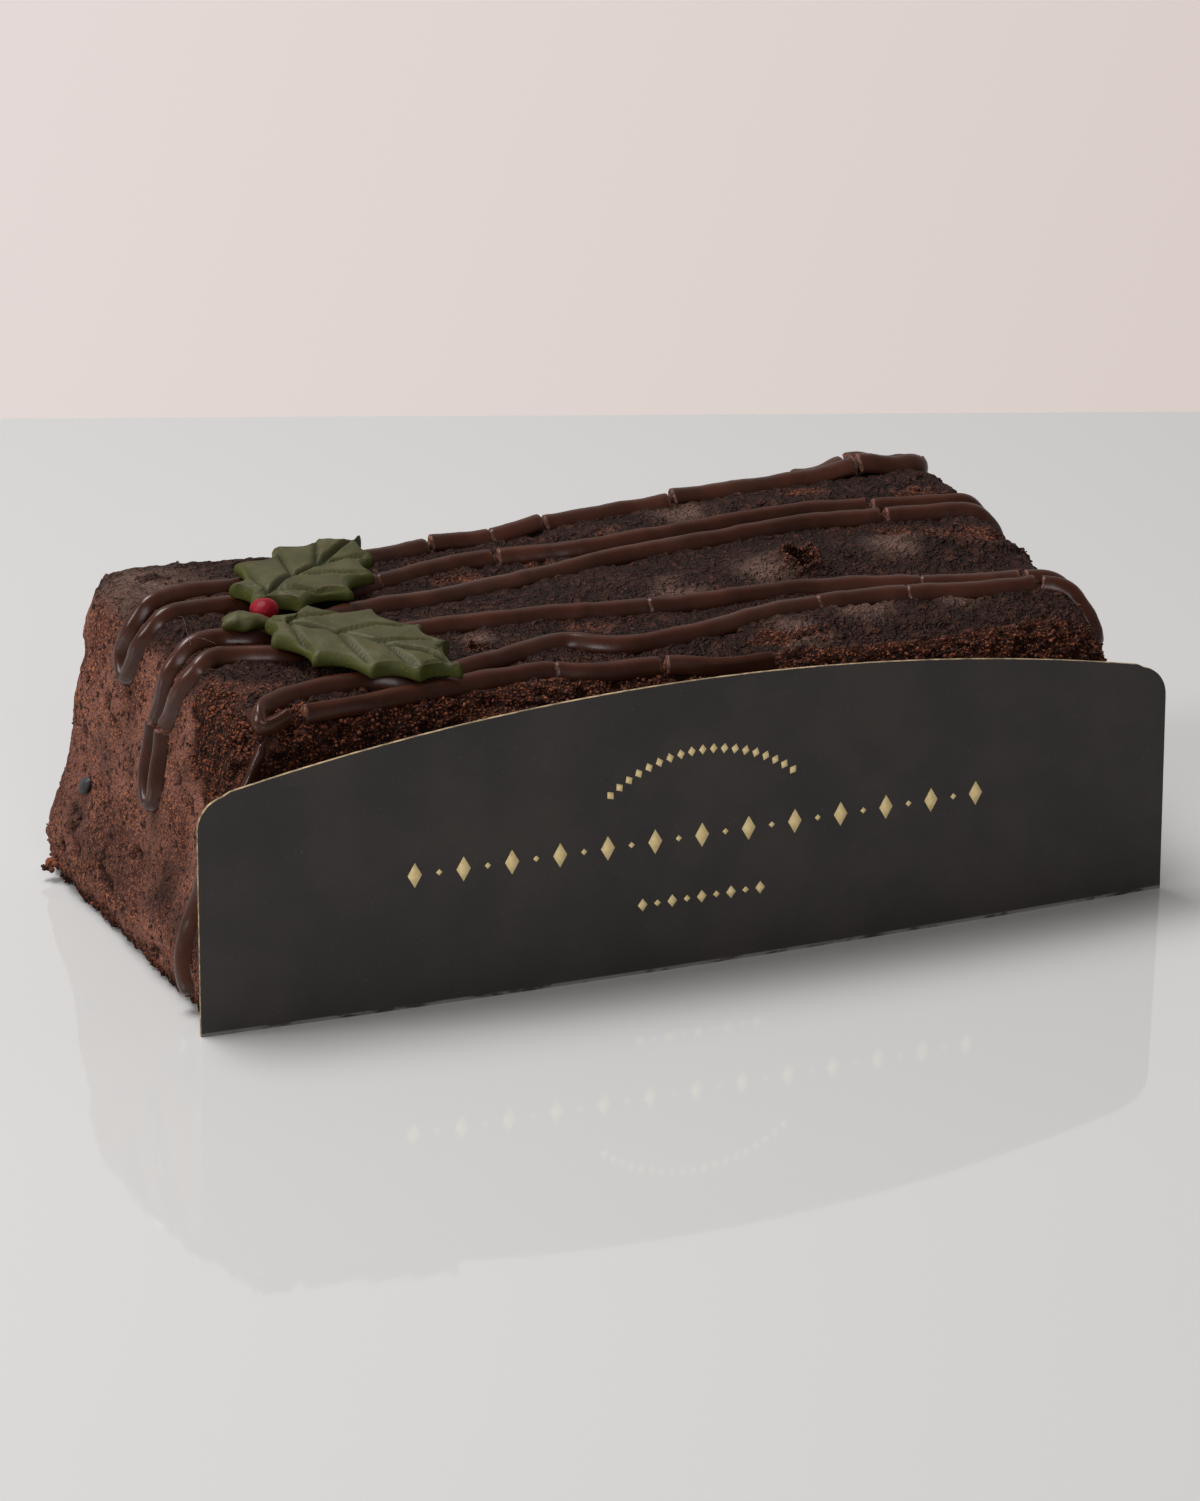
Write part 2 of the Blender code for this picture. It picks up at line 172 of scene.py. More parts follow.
def sponge_finish():
    """Baked chocolate sponge: dark wrinkled crust, reddish skin on the sides, open crumb where torn, with
    painted sheen on glossier crust and painted shade in cracks, pores and hollows.
    """
    f = Finish("chocolate_sponge", IOR=1.45, Specular_IOR_Level=0.12)
    crust, torn, deep, gloss_and_painted_sheen = f.mask("crust"), f.mask("torn"), f.mask("deep"), f.mask("gloss_and_painted_sheen")
    broad, patch = f.grain(14.0), f.grain(4.5, 4.0, shift=3.0)
    speck, speck_fine = f.grain(1.0, 3.0), f.grain(0.45, 2.0, shift=5.0)
    pore = 1.0 - f.cells(1.9, warp=3.0).between(0.16, 0.36)
    pore = pore * f.grain(5.0, shift=12.0).between(0.42, 0.54)
    crackle = f.cells(2.3, "DISTANCE_TO_EDGE", warp=5.0).between(0.0, 0.24)
    side = f.mix(broad.between(0.36, 0.62), (0.078, 0.029, 0.022), (0.162, 0.069, 0.052))
    side = f.mix(patch.between(0.50, 0.70) * 0.7, side, (0.046, 0.016, 0.011))
    side = f.mix(speck_fine.between(0.52, 0.62) * 0.9, side, (0.300, 0.108, 0.052))
    side = f.mix((1.0 - speck).between(0.55, 0.66) * 0.85, side, (0.024, 0.008, 0.005))
    inside = f.mix(speck.between(0.44, 0.60), (0.009, 0.0026, 0.0016), (0.038, 0.0105, 0.0052))
    inside = f.mix(speck_fine.between(0.56, 0.66) * 0.85, inside, (0.240, 0.066, 0.024))
    top = f.mix(patch.between(0.38, 0.66), (0.014, 0.0044, 0.0026), (0.034, 0.0118, 0.0072))
    top = f.mix(speck.between(0.55, 0.68) * 0.5, top, (0.085, 0.034, 0.020))
    top = f.mix(speck_fine.between(0.62, 0.71) * 0.55, top, (0.140, 0.044, 0.023))
    # painted shade: the crust darkened along the creases of its crackle
    top = f.mix((1.0 - crackle) * 0.75, top, (0.009, 0.0035, 0.0025))
    # painted sheen: glossier crust painted lighter and greyer, a painted highlight
    top = f.mix(gloss_and_painted_sheen * 0.62, top, (0.155, 0.088, 0.068))
    colour = f.mix(crust, side, top)
    colour = f.mix(torn, colour, inside)
    # painted shade: hollows, blow-holes, dents and pores darkened nearly to black
    colour = f.mix((deep * 0.9).most(pore * (0.8 - crust * 0.5)), colour, (0.007, 0.002, 0.0015))
    wrinkle = f.grain(1.25, 3.0, 0.55, along=(0.75, 1.2, 1.0), shift=1.0)
    rough = 0.84 - crust * 0.22 - gloss_and_painted_sheen * crust * 0.30
    grit = speck_fine * (0.70 - crust * 0.45) + wrinkle * (0.60 + crust * 0.55) + speck * 0.7
    grit = grit + crackle * crust * 0.45 - pore * 0.8
    return f.feed(Base_Color=colour, Roughness=rough, Normal=f.bump(grit, 1.0, 1.0))


def crumb_finish():
    f = Finish("loose_crumb", Roughness=0.85, IOR=1.45, Specular_IOR_Level=0.25)
    tone = f.grain(2.2, 2.0)
    colour = f.mix(tone.between(0.35, 0.65), (0.022, 0.0070, 0.0040), (0.140, 0.043, 0.019))
    return f.feed(Base_Color=colour)


def chocolate_finish():
    """Satin piped chocolate: soft uneven gloss and a faint drag of the nozzle."""
    f = Finish("piped_chocolate", IOR=1.46, Specular_IOR_Level=0.30)
    tone, drag = f.grain(9.0, 3.0), f.grain(3.0, 3.0, shift=4.0)
    colour = f.mix(tone.between(0.3, 0.7), (0.028, 0.0082, 0.0042), (0.047, 0.0144, 0.0078))
    broken = f.mask("broken")
    colour = f.mix(broken * f.grain(0.7).between(0.45, 0.6), colour, (0.150, 0.055, 0.030))
    rough = 0.20 + drag * 0.16 + broken * 0.4
    pores = 1.0 - f.cells(1.9).between(0.02, 0.10)
    height = drag * 0.6 - pores * 0.25
    return f.feed(Base_Color=colour, Roughness=rough, Normal=f.bump(height, 0.10, 0.6))


def leaf_finish():
    """Green sugar paste, dusted paler on top and deeper green at its edges, with painted shade darkening its
    pressed veins.
    """
    f = Finish("green_sugar_paste", IOR=1.45, Specular_IOR_Level=0.20)
    rim, vein_shade = f.mask("rim"), f.mask("vein_shade")
    cloud = f.grain(8.0, 3.0)
    colour = f.mix(cloud.between(0.3, 0.7), (0.036, 0.033, 0.010), (0.055, 0.048, 0.017))
    colour = f.mix(rim * 0.85, colour, (0.044, 0.048, 0.007))
    # painted shade: the pressed veins darkened
    colour = f.mix(vein_shade.between(0.15, 0.95) * 0.8, colour, (0.009, 0.013, 0.002))
    colour = f.mix(f.grain(0.5, 2.0).between(0.62, 0.74) * 0.35, colour, (0.150, 0.140, 0.075))
    height = f.grain(0.7, 3.0) + f.grain(2.5, 2.0, shift=2.0)
    rough = 0.46 + cloud * 0.14
    return f.feed(Base_Color=colour, Roughness=rough, Normal=f.bump(height, 0.09, 0.7))


def berry_finish():
    f = Finish("red_sugar_paste", IOR=1.45, Specular_IOR_Level=0.12)
    tone = f.grain(2.0, 3.0)
    colour = f.mix(tone.between(0.35, 0.65), (0.120, 0.0016, 0.005), (0.190, 0.003, 0.011))
    rough = 0.38 + tone * 0.16
    return f.feed(Base_Color=colour, Roughness=rough, Normal=f.bump(f.grain(0.6), 0.06, 0.6))


def card_finish():
    """Matt black printed card: faint specks and scuffs, and a worn pale line along its fold."""
    f = Finish("black_card", IOR=1.45)
    height = f.node("ShaderNodeSeparateXYZ", {}, {0: f.place}, "Z")
    cloud, speck = f.grain(22.0, 4.0, 0.6), f.grain(0.42, 1.0, shift=6.0)
    colour = f.mix(cloud.between(0.35, 0.7), (0.0240, 0.0202, 0.0192), (0.0370, 0.0302, 0.0270))
    colour = f.mix(speck.between(0.70, 0.78) * 0.5, colour, (0.090, 0.080, 0.070))
    scuff = f.grain(2.4, 5.0, 0.7, along=(0.35, 1.0, 1.0), shift=8.0).between(0.66, 0.80)
    colour = f.mix(scuff * 0.25, colour, (0.060, 0.050, 0.042))
    fold = 1.0 - height.between(0.45 * MM, 0.75 * MM)
    worn = fold * f.grain(1.8, 3.0, along=(0.3, 1, 1)).between(0.36, 0.52)
    colour = f.mix(worn * 0.55, colour, (0.300, 0.280, 0.250))
    rough = 0.50 + cloud * 0.12
    return f.feed(Base_Color=colour, Roughness=rough, Normal=f.bump(f.grain(0.9, 3.0), 0.02, 0.5))


def cut_edge_finish():
    f = Finish("cut_board_edge", Roughness=0.8)
    tone = f.grain(1.0, 3.0, along=(0.5, 1.0, 1.0))
    colour = f.mix(tone.between(0.3, 0.7), (0.080, 0.050, 0.026), (0.330, 0.235, 0.125))
    return f.feed(Base_Color=colour)


def ink_finish():
    f = Finish("cream_gold_ink", Roughness=0.45)
    tone = f.grain(0.8, 3.0)
    colour = f.mix(tone.between(0.3, 0.7), (0.820, 0.610, 0.270), (0.900, 0.720, 0.380))
    return f.feed(Base_Color=colour)


def seed_finish():
    f = Finish("black_seed", IOR=1.45)
    tone = f.grain(0.9, 3.0)
    colour = f.mix(tone.between(0.35, 0.65), (0.010, 0.009, 0.010), (0.024, 0.022, 0.023))
    return f.feed(Base_Color=colour, Roughness=0.42 + tone * 0.2, Normal=f.bump(tone, 0.12, 0.6))


def table_finish():
    f = Finish("white_table", IOR=1.5, Roughness=0.04)
    return f.feed(Base_Color=f.mix(f.grain(300.0), (0.445, 0.437, 0.432), (0.458, 0.450, 0.445)))


SPONGE, CRUMB, CHOCOLATE = sponge_finish(), crumb_finish(), chocolate_finish()
LEAF_SUGAR, BERRY_SUGAR = leaf_finish(), berry_finish()
BLACK_CARD, CUT_EDGE, INK, SEED = card_finish(), cut_edge_finish(), ink_finish(), seed_finish()


def settle(name, bm, finishes, replaced=()):
    """Sets a millimetre shape down as one piece in metres, and hides the CAD nodes it stands in for."""
    bmesh.ops.translate(bm, vec=CENTRE_SHIFT, verts=bm.verts)
    bmesh.ops.scale(bm, vec=(MM, MM, MM), verts=bm.verts)
    bmesh.ops.recalc_face_normals(bm, faces=bm.faces)
    mesh = bpy.data.meshes.new(name)
    bm.to_mesh(mesh)
    bm.free()
    for finish in finishes:
        mesh.materials.append(finish)
    mesh.shade_smooth()
    piece = bpy.data.objects.new(name, mesh)
    bpy.context.scene.collection.objects.link(piece)
    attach(piece, "root")
    if replaced:
        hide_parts(*replaced)
    return piece


# ---------------------------------------------------------------- the cake


def smooth(t):
    t = min(max(t, 0.0), 1.0)
    return t * t * (3.0 - 2.0 * t)


def crust(x, y):
    """Height of the baked top over the point x, y."""
    along = (x - CAKE_LEFT) / (CAKE_RIGHT - CAKE_LEFT)
    back = (y - CAKE_FRONT) / (CAKE_BACK - CAKE_FRONT)
    height = TOP_FRONT + TOP_RISE_TO_BACK * back
    height += TOP_CROWN * (1.0 - (2.0 * back - 1.0) ** 2)
    height -= TOP_DROP_FRONT_RIGHT * along * (1.0 - back)
    height -= SAG * back * math.exp(-(((x - SAG_X) / SAG_LONG) ** 2))
    lobes = math.cos(2.0 * math.pi * (y - 2.0) / LOBE_PITCH)
    height += LOBE_HEIGHT * (0.2 + 0.8 * smooth(along)) * lobes
    height += 0.5 * noise.noise(Vector((x * 0.045, y * 0.06, 3.7)))
    return height


def body(a, b, c):
    """A point of the cube surface (-1 to 1 each way) carried onto the loaf."""
    a = math.copysign(1.0 - (1.0 - abs(a)) ** 1.3, a)
    b = math.copysign(1.0 - (1.0 - abs(b)) ** 1.25, b)
    up = 0.5 * (c + 1.0)
    x = 0.5 * (CAKE_LEFT + CAKE_RIGHT) + 0.5 * (CAKE_RIGHT - CAKE_LEFT) * a
    back = CAKE_BACK + BACK_WIDER * (0.5 + 0.5 * a) ** 2
    y = 0.5 * (CAKE_FRONT + back) + 0.5 * (back - CAKE_FRONT) * b
    top = crust(x, y)
    z = up * top
    p = Vector((x, y, z))
    soft = ROUND_CORNER + (ROUND_TOP - ROUND_CORNER) * smooth((z - 28.0) / 24.0)
    low = Vector((CAKE_LEFT + soft, CAKE_FRONT + soft, ROUND_FOOT))
    high = Vector((CAKE_RIGHT - soft, back - soft, top - ROUND_TOP))
    core = Vector(min(max(p[i], low[i]), high[i]) for i in range(3))
    radii = Vector((soft, soft, ROUND_FOOT if z < ROUND_FOOT else ROUND_TOP))
    out = Vector((p[i] - core[i]) / radii[i] for i in range(3))
    if out.length > 1e-6:
        out.normalize()
        p = core + Vector(out[i] * radii[i] for i in range(3))
    flare = FOOT_FLARE * math.exp(-(((p.z - FOOT_HEIGHT) / 8.0) ** 2))
    flare += 0.7 * noise.noise(Vector((p.x * 0.05, p.y * 0.05, p.z * 0.08)))
    forward = 0.5 - 0.5 * b
    lean_x = LEAN_RIGHT + LEAN_RIGHT_FRONT * forward**2 if a > 0.0 else LEAN_LEFT
    lean_y = LEAN_BACK if b > 0.0 else LEAN_FRONT
    side_x = math.copysign(max(abs(a) * 1.6 - 0.6, 0.0) ** 2, a)
    side_y = math.copysign(max(abs(b) * 1.6 - 0.6, 0.0) ** 2, b)
    p.x += side_x * (flare - lean_x * p.z / 50.0)
    p.y += side_y * (flare - lean_y * p.z / 50.0)
    return p


def along_axis(bm, axis):
    """The edges of an untransformed cube grid that run along one axis."""
    found = []
    for edge in bm.edges:
        d = edge.verts[1].co - edge.verts[0].co
        if abs(d[axis]) > 0.9 * d.length:
            found.append(edge)
    return found


def loaf(cuts):
    """A closed loaf from a cube, cut into a grid and carried onto the cake's form."""
    bm = bmesh.new()
    bmesh.ops.create_cube(bm, size=2.0)
    for axis in range(3):
        edges = along_axis(bm, axis)
        bmesh.ops.subdivide_edges(bm, edges=edges, cuts=cuts[axis], use_grid_fill=True)
    for vert in bm.verts:
        vert.co = body(*vert.co)
    bmesh.ops.recalc_face_normals(bm, faces=bm.faces)
    bm.normal_update()
    return bm


guide = loaf((90, 44, 30))
SURFACE = BVHTree.FromBMesh(guide)
guide.free()

# Blow-holes as x, y, radius, depth, height of the torn rim
HOLES = (
    (40.0, -0.6, 2.7, 4.5, 1.35),
    (-32.0, -16.5, 1.5, 2.8, 0.25),
    (60.7, -16.8, 1.0, 1.6, 0.1),
    (72.5, -20.5, 1.1, 1.4, 0.1),
    (52.5, 7.0, 0.9, 1.2, 0.1),
    (81.0, 30.0, 1.2, 1.3, 0.1),
)
# Places where the crust is torn open, as x, y, radius
TEARS = (
    (-21.0, 16.5, 5.0), (-5.0, 18.6, 3.0), (-7.0, -13.8, 4.5), (20.0, -28.0, 4.0), (75.0, 4.5, 4.5),
    (76.0, 24.0, 4.0), (30.0, -27.5, 4.0), (-42.0, 27.0, 4.0), (12.0, 26.0, 3.0), (55.0, 31.0, 4.0),
)
# Glossier patches of crust, whose colour is also painted lighter and greyer as a painted sheen, as x, y,
# radius
GLOSS_AND_PAINTED_SHEENS = (
    (27.0, -27.0, 8.0), (43.0, -20.0, 9.0), (32.0, -1.0, 8.0), (-78.0, 27.0, 17.0), (62.0, -19.0, 8.0),
    (61.0, 3.0, 8.0), (14.0, -3.0, 8.0), (-30.0, -13.0, 5.0), (30.0, 29.0, 9.0),
)
# A lobe of crust stands over a torn hollow behind it: the lip's line, as x, y
LIP_X, LIP_Y = (60.0, 66.4, 75.1, 81.9, 88.0), (7.0, 4.6, 0.0, -1.6, -2.5)
# Where the open crumb of the front left corner is widest
OPEN_CORNER = Vector((-84.5, -25.0, 46.5))
# Dents in the left end, as y, z, radius, depth
DENTS = (
    (31.1, 11.5, 1.8, 1.6), (34.0, 8.4, 1.4, 1.3), (27.0, 9.9, 1.5, 1.4), (29.5, 14.5, 1.2, 1.0),
    (32.5, 15.8, 1.0, 0.9), (2.2, 18.0, 1.1, 1.2), (0.2, 17.2, 1.0, 1.2), (3.6, 16.6, 0.9, 0.9),
    (16.0, 10.4, 1.5, 1.1), (13.5, 9.0, 1.5, 1.1), (10.5, 8.2, 1.6, 1.1), (7.5, 6.8, 1.5, 1.0),
    (-14.0, 5.0, 1.3, 1.0), (24.0, 38.5, 1.2, 1.0), (21.0, 36.0, 1.1, 0.9), (27.5, 40.5, 1.0, 0.9),
    (33.0, 30.0, 0.9, 0.8), (19.5, 42.0, 0.9, 0.9), (8.0, 30.0, 0.8, 0.7), (-16.0, 28.0, 0.9, 0.8),
    (-20.0, 33.0, 1.2, 1.0), (-12.0, 36.0, 1.3, 1.2),
)


def near(distance, radius):
    return smooth(1.0 - distance / radius)


def pits(p, size, share, seed):
    """Depth from 0 to 1 of round pits of about this radius, found in this share of places."""
    spread = 2.9 * size
    far, spots = noise.voronoi(p / spread + Vector((seed, 0.0, 0.0)))
    chance = 0.5 + 0.5 * noise.noise(spots[0] * 9.7)
    if chance > share:
        return 0.0
    return smooth(1.8 * (1.0 - far[0] * spread / (size * (0.8 + 0.6 * chance / share))))


def relief(p, n):
    """How far the cake stands out at p, and how much it is crust, torn crumb and hollow there; the hollow
    amount is used as painted shade.
    """
    wander = noise.noise(p * 0.11)
    ragged = noise.noise(p * 0.45 + Vector((7.0, 0.0, 0.0)))
    front, right = smooth((-n.y - 0.1) / 0.5), smooth((n.x - 0.1) / 0.5)
    soft_edge = smooth((n.z + 0.30 * wander + 0.08) / 0.75)
    clean_edge = smooth((n.z + 0.16 * wander + 0.10 * ragged - 0.46) / 0.10)
    baked = soft_edge + (clean_edge - soft_edge) * right
    if p.y < -24.0 and p.x > -78.0:
        baked = min(baked, smooth((p.y + 32.6 + 1.2 * ragged + 1.0 * wander) / 0.7))
        front = max(front, smooth((-30.0 - p.y) / 2.0))
    torn = (1.0 - baked) * front
    torn = max(torn, (1.0 - baked) * right * (0.25 + 0.75 * smooth((p.z - 42.0) / 5.0)))
    corner = (p - OPEN_CORNER).length
    torn = max(torn, smooth((13.0 + 5.0 * wander + 3.0 * ragged - corner) / 5.0))
    torn = max(torn, smooth((4.5 + 2.5 * ragged - p.z) / 3.0) * (1.0 - baked))
    for x, y, radius in TEARS:
        if n.z > 0.3 and abs(p.x - x) < 2 * radius and abs(p.y - y) < 2 * radius:
            far = math.hypot(0.55 * (p.x - x), p.y - y) + 1.8 * ragged + 1.2 * wander
            torn = max(torn, 0.85 * smooth((0.62 * radius - far) / 1.0))
    out, deep = 0.0, 0.0
    if p.x > 58.0 and n.z > 0.15:
        behind = p.y - float(np.interp(p.x, LIP_X, LIP_Y)) + 0.5 * ragged
        grown = smooth((p.x - 60.0) / 6.0)
        hollow = smooth(behind / 0.7) * smooth((9.5 - behind) / 5.0) * grown
        out += 0.7 * near(abs(behind + 0.6), 2.2) * grown - 1.1 * hollow
        torn = max(torn, 0.85 * hollow)
    baked *= 1.0 - torn
    side = 1.0 - baked - torn
    lumps = noise.noise(p * 0.10 + Vector((0.0, 5.0, 0.0)))
    wrinkle = noise.noise(Vector((p.x * 0.34, p.y * 0.62, p.z * 0.4)))
    crinkle = noise.noise(Vector((p.x * 0.62, p.y * 1.0, p.z * 0.8)))
    ridged = abs(noise.noise(Vector((p.x * 0.20, p.y * 0.30, 9.0))))
    out += baked * (0.40 * lumps + 0.46 * wrinkle + 0.42 * crinkle - 0.55 * near(ridged, 0.09))
    out += side * (0.55 * lumps + 0.40 * noise.noise(p * 0.3) + 0.42 * noise.noise(p * 0.8))
    if torn > 0.02:
        coarse = noise.noise(p * 0.36 + Vector((3.0, 0.0, 0.0)))
        fine = noise.noise(p * 0.85)
        hollow = pits(p, 1.35, 0.55, 3.0)
        out += torn * (0.9 * coarse + 0.55 * fine - 0.35 - 1.3 * hollow)
        deep += torn * (0.85 * hollow + 0.4 * max(-coarse, 0.0))
    stray = pits(p, 0.95, 0.32, 11.0) * side
    out -= 1.1 * stray
    deep += 0.9 * stray
    if n.z > 0.3:
        for x, y, radius, depth, rim in HOLES:
            far = math.hypot(p.x - x, p.y - y)
            if far < 4.0 * radius:
                turn = math.atan2(p.y - y, p.x - x)
                jag = 1.0 + 0.28 * noise.noise(Vector((math.cos(turn) * 1.8, math.sin(turn) * 1.8, x)))
                r = far / (radius * jag)
                fall = smooth((1.12 - r) / 0.34)
                out -= depth * fall
                out += rim * math.exp(-(((r - 1.28) / 0.26) ** 2)) * (1.0 + 0.9 * ragged)
                out += 0.55 * rim * near(abs(r - 1.0), 1.9)
                deep += fall
                torn = max(torn, near(abs(r - 1.15), 0.45) if rim > 0.2 else 0.6 * near(r, 1.5))
    if n.x < -0.4:
        for y, z, radius, depth in DENTS:
            far = math.hypot(p.y - y, p.z - z)
            if far < 2.0 * radius:
                r = far * (1.0 + 0.35 * ragged) / radius
                out -= 1.15 * depth * smooth((1.30 - r) / 0.65)
                deep += 0.95 * smooth((1.10 - r) / 0.45)
        lip = smooth((p.y - 24.0) / 12.0)
        out += lip * (0.5 * smooth((p.z - 44.5) / 4.0) - 0.5 * near(abs(p.z - 43.0), 3.5))
    if p.x < -76.0 and p.y > 30.0:
        rounded = smooth((p.z - 46.0) / 8.0) * smooth((-77.0 - p.x) / 8.0) * smooth((p.y - 31.0) / 8.0)
        out -= 1.5 * rounded
    foot = smooth((3.2 - p.z) / 2.6) * (1.0 - max(n.z, 0.0))
    out += foot * (0.8 * ragged + 0.9 * noise.noise(p * 0.9 + Vector((0.0, 2.0, 0.0))))
    return out, baked, torn, min(deep, 1.0)


# How glossy the crust is at p; the same amount paints a lighter, greyer sheen into its colour
def gloss_and_painted_sheen_at(p):
    amount = max(near(math.hypot(p.x - x, p.y - y), radius) for x, y, radius in GLOSS_AND_PAINTED_SHEENS)
    return amount * smooth(1.0 + 1.6 * noise.noise(p * 0.22))


def refine(bm, wanted, cuts):
    edges = [e for e in bm.edges if wanted(0.5 * (e.verts[0].co + e.verts[1].co))]
    bmesh.ops.subdivide_edges(bm, edges=edges, cuts=cuts, use_grid_fill=True)


def detailed_cake():
    bm = loaf((218, 104, 70))
    under = [f for f in bm.faces if all(v.co.z < 0.02 for v in f.verts)]
    for face in under:
        for vert in face.verts:
            vert.co.z = 0.0
    bmesh.ops.dissolve_faces(bm, faces=under)
    for x, y, radius, _, _ in HOLES[:3]:
        reach = 2.3 * radius
        refine(bm, lambda m: m.z > 40.0 and math.hypot(m.x - x, m.y - y) < reach, 2)
    bm.normal_update()
    layers = [bm.verts.layers.float.new(name) for name in ("crust", "torn", "deep", "gloss_and_painted_sheen")]
    moves = []
    for vert in bm.verts:
        out, *amounts = relief(vert.co, vert.normal)
        amounts.append(gloss_and_painted_sheen_at(vert.co))
        for layer, amount in zip(layers, amounts):
            vert[layer] = amount
        moves.append((vert, vert.normal * out))
    for vert, move in moves:
        if vert.co.z > 0.0:
            vert.co += move
            vert.co.z = max(vert.co.z, 0.05)
    return bm


# Shares of the skin's faces that hold a crumb: where torn, on the left half's sides, and anywhere
CRUMBS_TORN, CRUMBS_SIDE, CRUMBS_ANYWHERE = 0.17, 0.045, 0.004
HEAPED_CRUMBS, STREWN_CRUMBS = 46, 9
CRUMB_BATCH = 80
luck = np.random.default_rng(12)


def clinging_crumbs(bm):
    """Places and radii of crumbs on the torn places and, thinly, on the sides."""
    torn_layer, crust_layer = bm.verts.layers.float["torn"], bm.verts.layers.float["crust"]
    found = []
    for face in bm.faces:
        if len(face.verts) > 4:
            continue
        vert = face.verts[0]
        bare = (1.0 - vert[crust_layer]) * (vert.co.x < 0.0)
        share = CRUMBS_TORN * vert[torn_layer] + CRUMBS_SIDE * bare + CRUMBS_ANYWHERE
        if luck.random() < share:
            size = luck.uniform(0.16, 0.34) * (1.0 + 0.8 * vert[torn_layer] * luck.random())
            found.append((face.calc_center_median() + face.normal * 0.35 * size, size))
    return found


def fallen_crumbs():
    """Places and radii of crumbs heaped at the back left foot and strewn at the front right one."""
    found = []
    for _ in range(HEAPED_CRUMBS):
        along = luck.random()
        x, y = -91.8 - 3.0 * along, 38.2 + 0.8 * along + luck.normal(0, 0.6)
        z = 2.2 + luck.random() * 2.2 * (1.2 - along)
        found.append((Vector((x, y, z)), luck.uniform(0.45, 0.85) * (1.15 - 0.5 * along)))
    for _ in range(STREWN_CRUMBS):
        x, y = 94.2 + 1.8 * luck.random(), -40.4 + luck.normal(0, 0.3)
        z = 0.45 + 0.3 * luck.random()
        found.append((Vector((x, y, z)), luck.uniform(0.25, 0.5)))
    return found


def crumb_shapes(flecks):
    """Lumpy crumbs, made in batches because adding to one large mesh is slow."""
    bm = bmesh.new()
    for first in range(0, len(flecks), CRUMB_BATCH):
        batch = bmesh.new()
        for centre, size in flecks[first : first + CRUMB_BATCH]:
            turn = Matrix.Rotation(luck.uniform(0, 6.3), 4, "Z")
            turn = turn @ Matrix.Rotation(luck.uniform(0, 3.1), 4, "X")
            shape = Matrix.Diagonal((1.0, luck.uniform(0.6, 1.0), luck.uniform(0.5, 0.9), 1.0))
            place = Matrix.Translation(centre) @ turn @ shape
            fineness = 2 if size > 0.6 else 1
            bmesh.ops.create_icosphere(batch, subdivisions=fineness, radius=size, matrix=place)
        held = bpy.data.meshes.new("batch")
        batch.to_mesh(held)
        batch.free()
        bm.from_mesh(held)
        bpy.data.meshes.remove(held)
    for vert in bm.verts:
        vert.co += 0.26 * Vector(noise.noise_vector(vert.co * 2.1))
        vert.co.z = max(vert.co.z, 0.02)
    return bm


cake = detailed_cake()
CAKE_SKIN = BVHTree.FromBMesh(cake)
flecks = clinging_crumbs(cake) + fallen_crumbs()
settle("cake", cake, [SPONGE], ["cake_log"])
settle("crumbs", crumb_shapes(flecks), [CRUMB])


# ---------------------------------------------------------------- piping


def polyline(points):
    """A smooth curve through the given points, as many short steps, and the distance along it."""
    pts = [Vector(p) for p in points]
    pts = [2 * pts[0] - pts[1]] + pts + [2 * pts[-1] - pts[-2]]
    fine = []
    for i in range(1, len(pts) - 2):
        p0, p1, p2, p3 = pts[i - 1 : i + 3]
        for k in range(24):
            t = k / 24.0
            bend = 2 * p1 + (p2 - p0) * t + (2 * p0 - 5 * p1 + 4 * p2 - p3) * t * t
            fine.append(0.5 * (bend + (3 * p1 - p0 - 3 * p2 + p3) * t * t * t))
    fine.append(pts[-2])
    fine = np.array([p[:] for p in fine])
    steps = np.linalg.norm(np.diff(fine, axis=0), axis=1)
    return fine, np.concatenate([[0.0], np.cumsum(steps)])


def eased(rows, reach):
    """Rows averaged with their neighbours, ends kept."""
    for _ in range(reach):
        padded = np.vstack([rows[:1], rows, rows[-1:]])
        rows = 0.25 * padded[:-2] + 0.5 * padded[1:-1] + 0.25 * padded[2:]
    return rows


# Points round a strand, their step along it, and how deep it sinks into the cake
ROUND, STEP, SINK = 26, 0.55, 0.55


def section(j, ridge):
    """Side (-1 to 1) and rise (0 to 1) of the strand's outline: flat foot, full front, crest at the back."""
    turn = 2.0 * math.pi * j / ROUND
    side, rise = math.cos(turn), math.sin(turn)
    if rise < 0.0:
        return side * (0.80 + 0.20 * (1.0 + rise)), 0.12 * rise
    rise = rise**0.80
    crest = math.exp(-(((side - 0.50 * ridge) / 0.13) ** 2))
    shoulder = 1.0 - 0.42 * max(-side * ridge, 0.0)
    return side, rise * shoulder + 0.22 * crest * abs(ridge)


def sway(s, seed, reach, row):
    """Slow noise along a strand."""
    return noise.noise(Vector((s / reach, seed, row)))


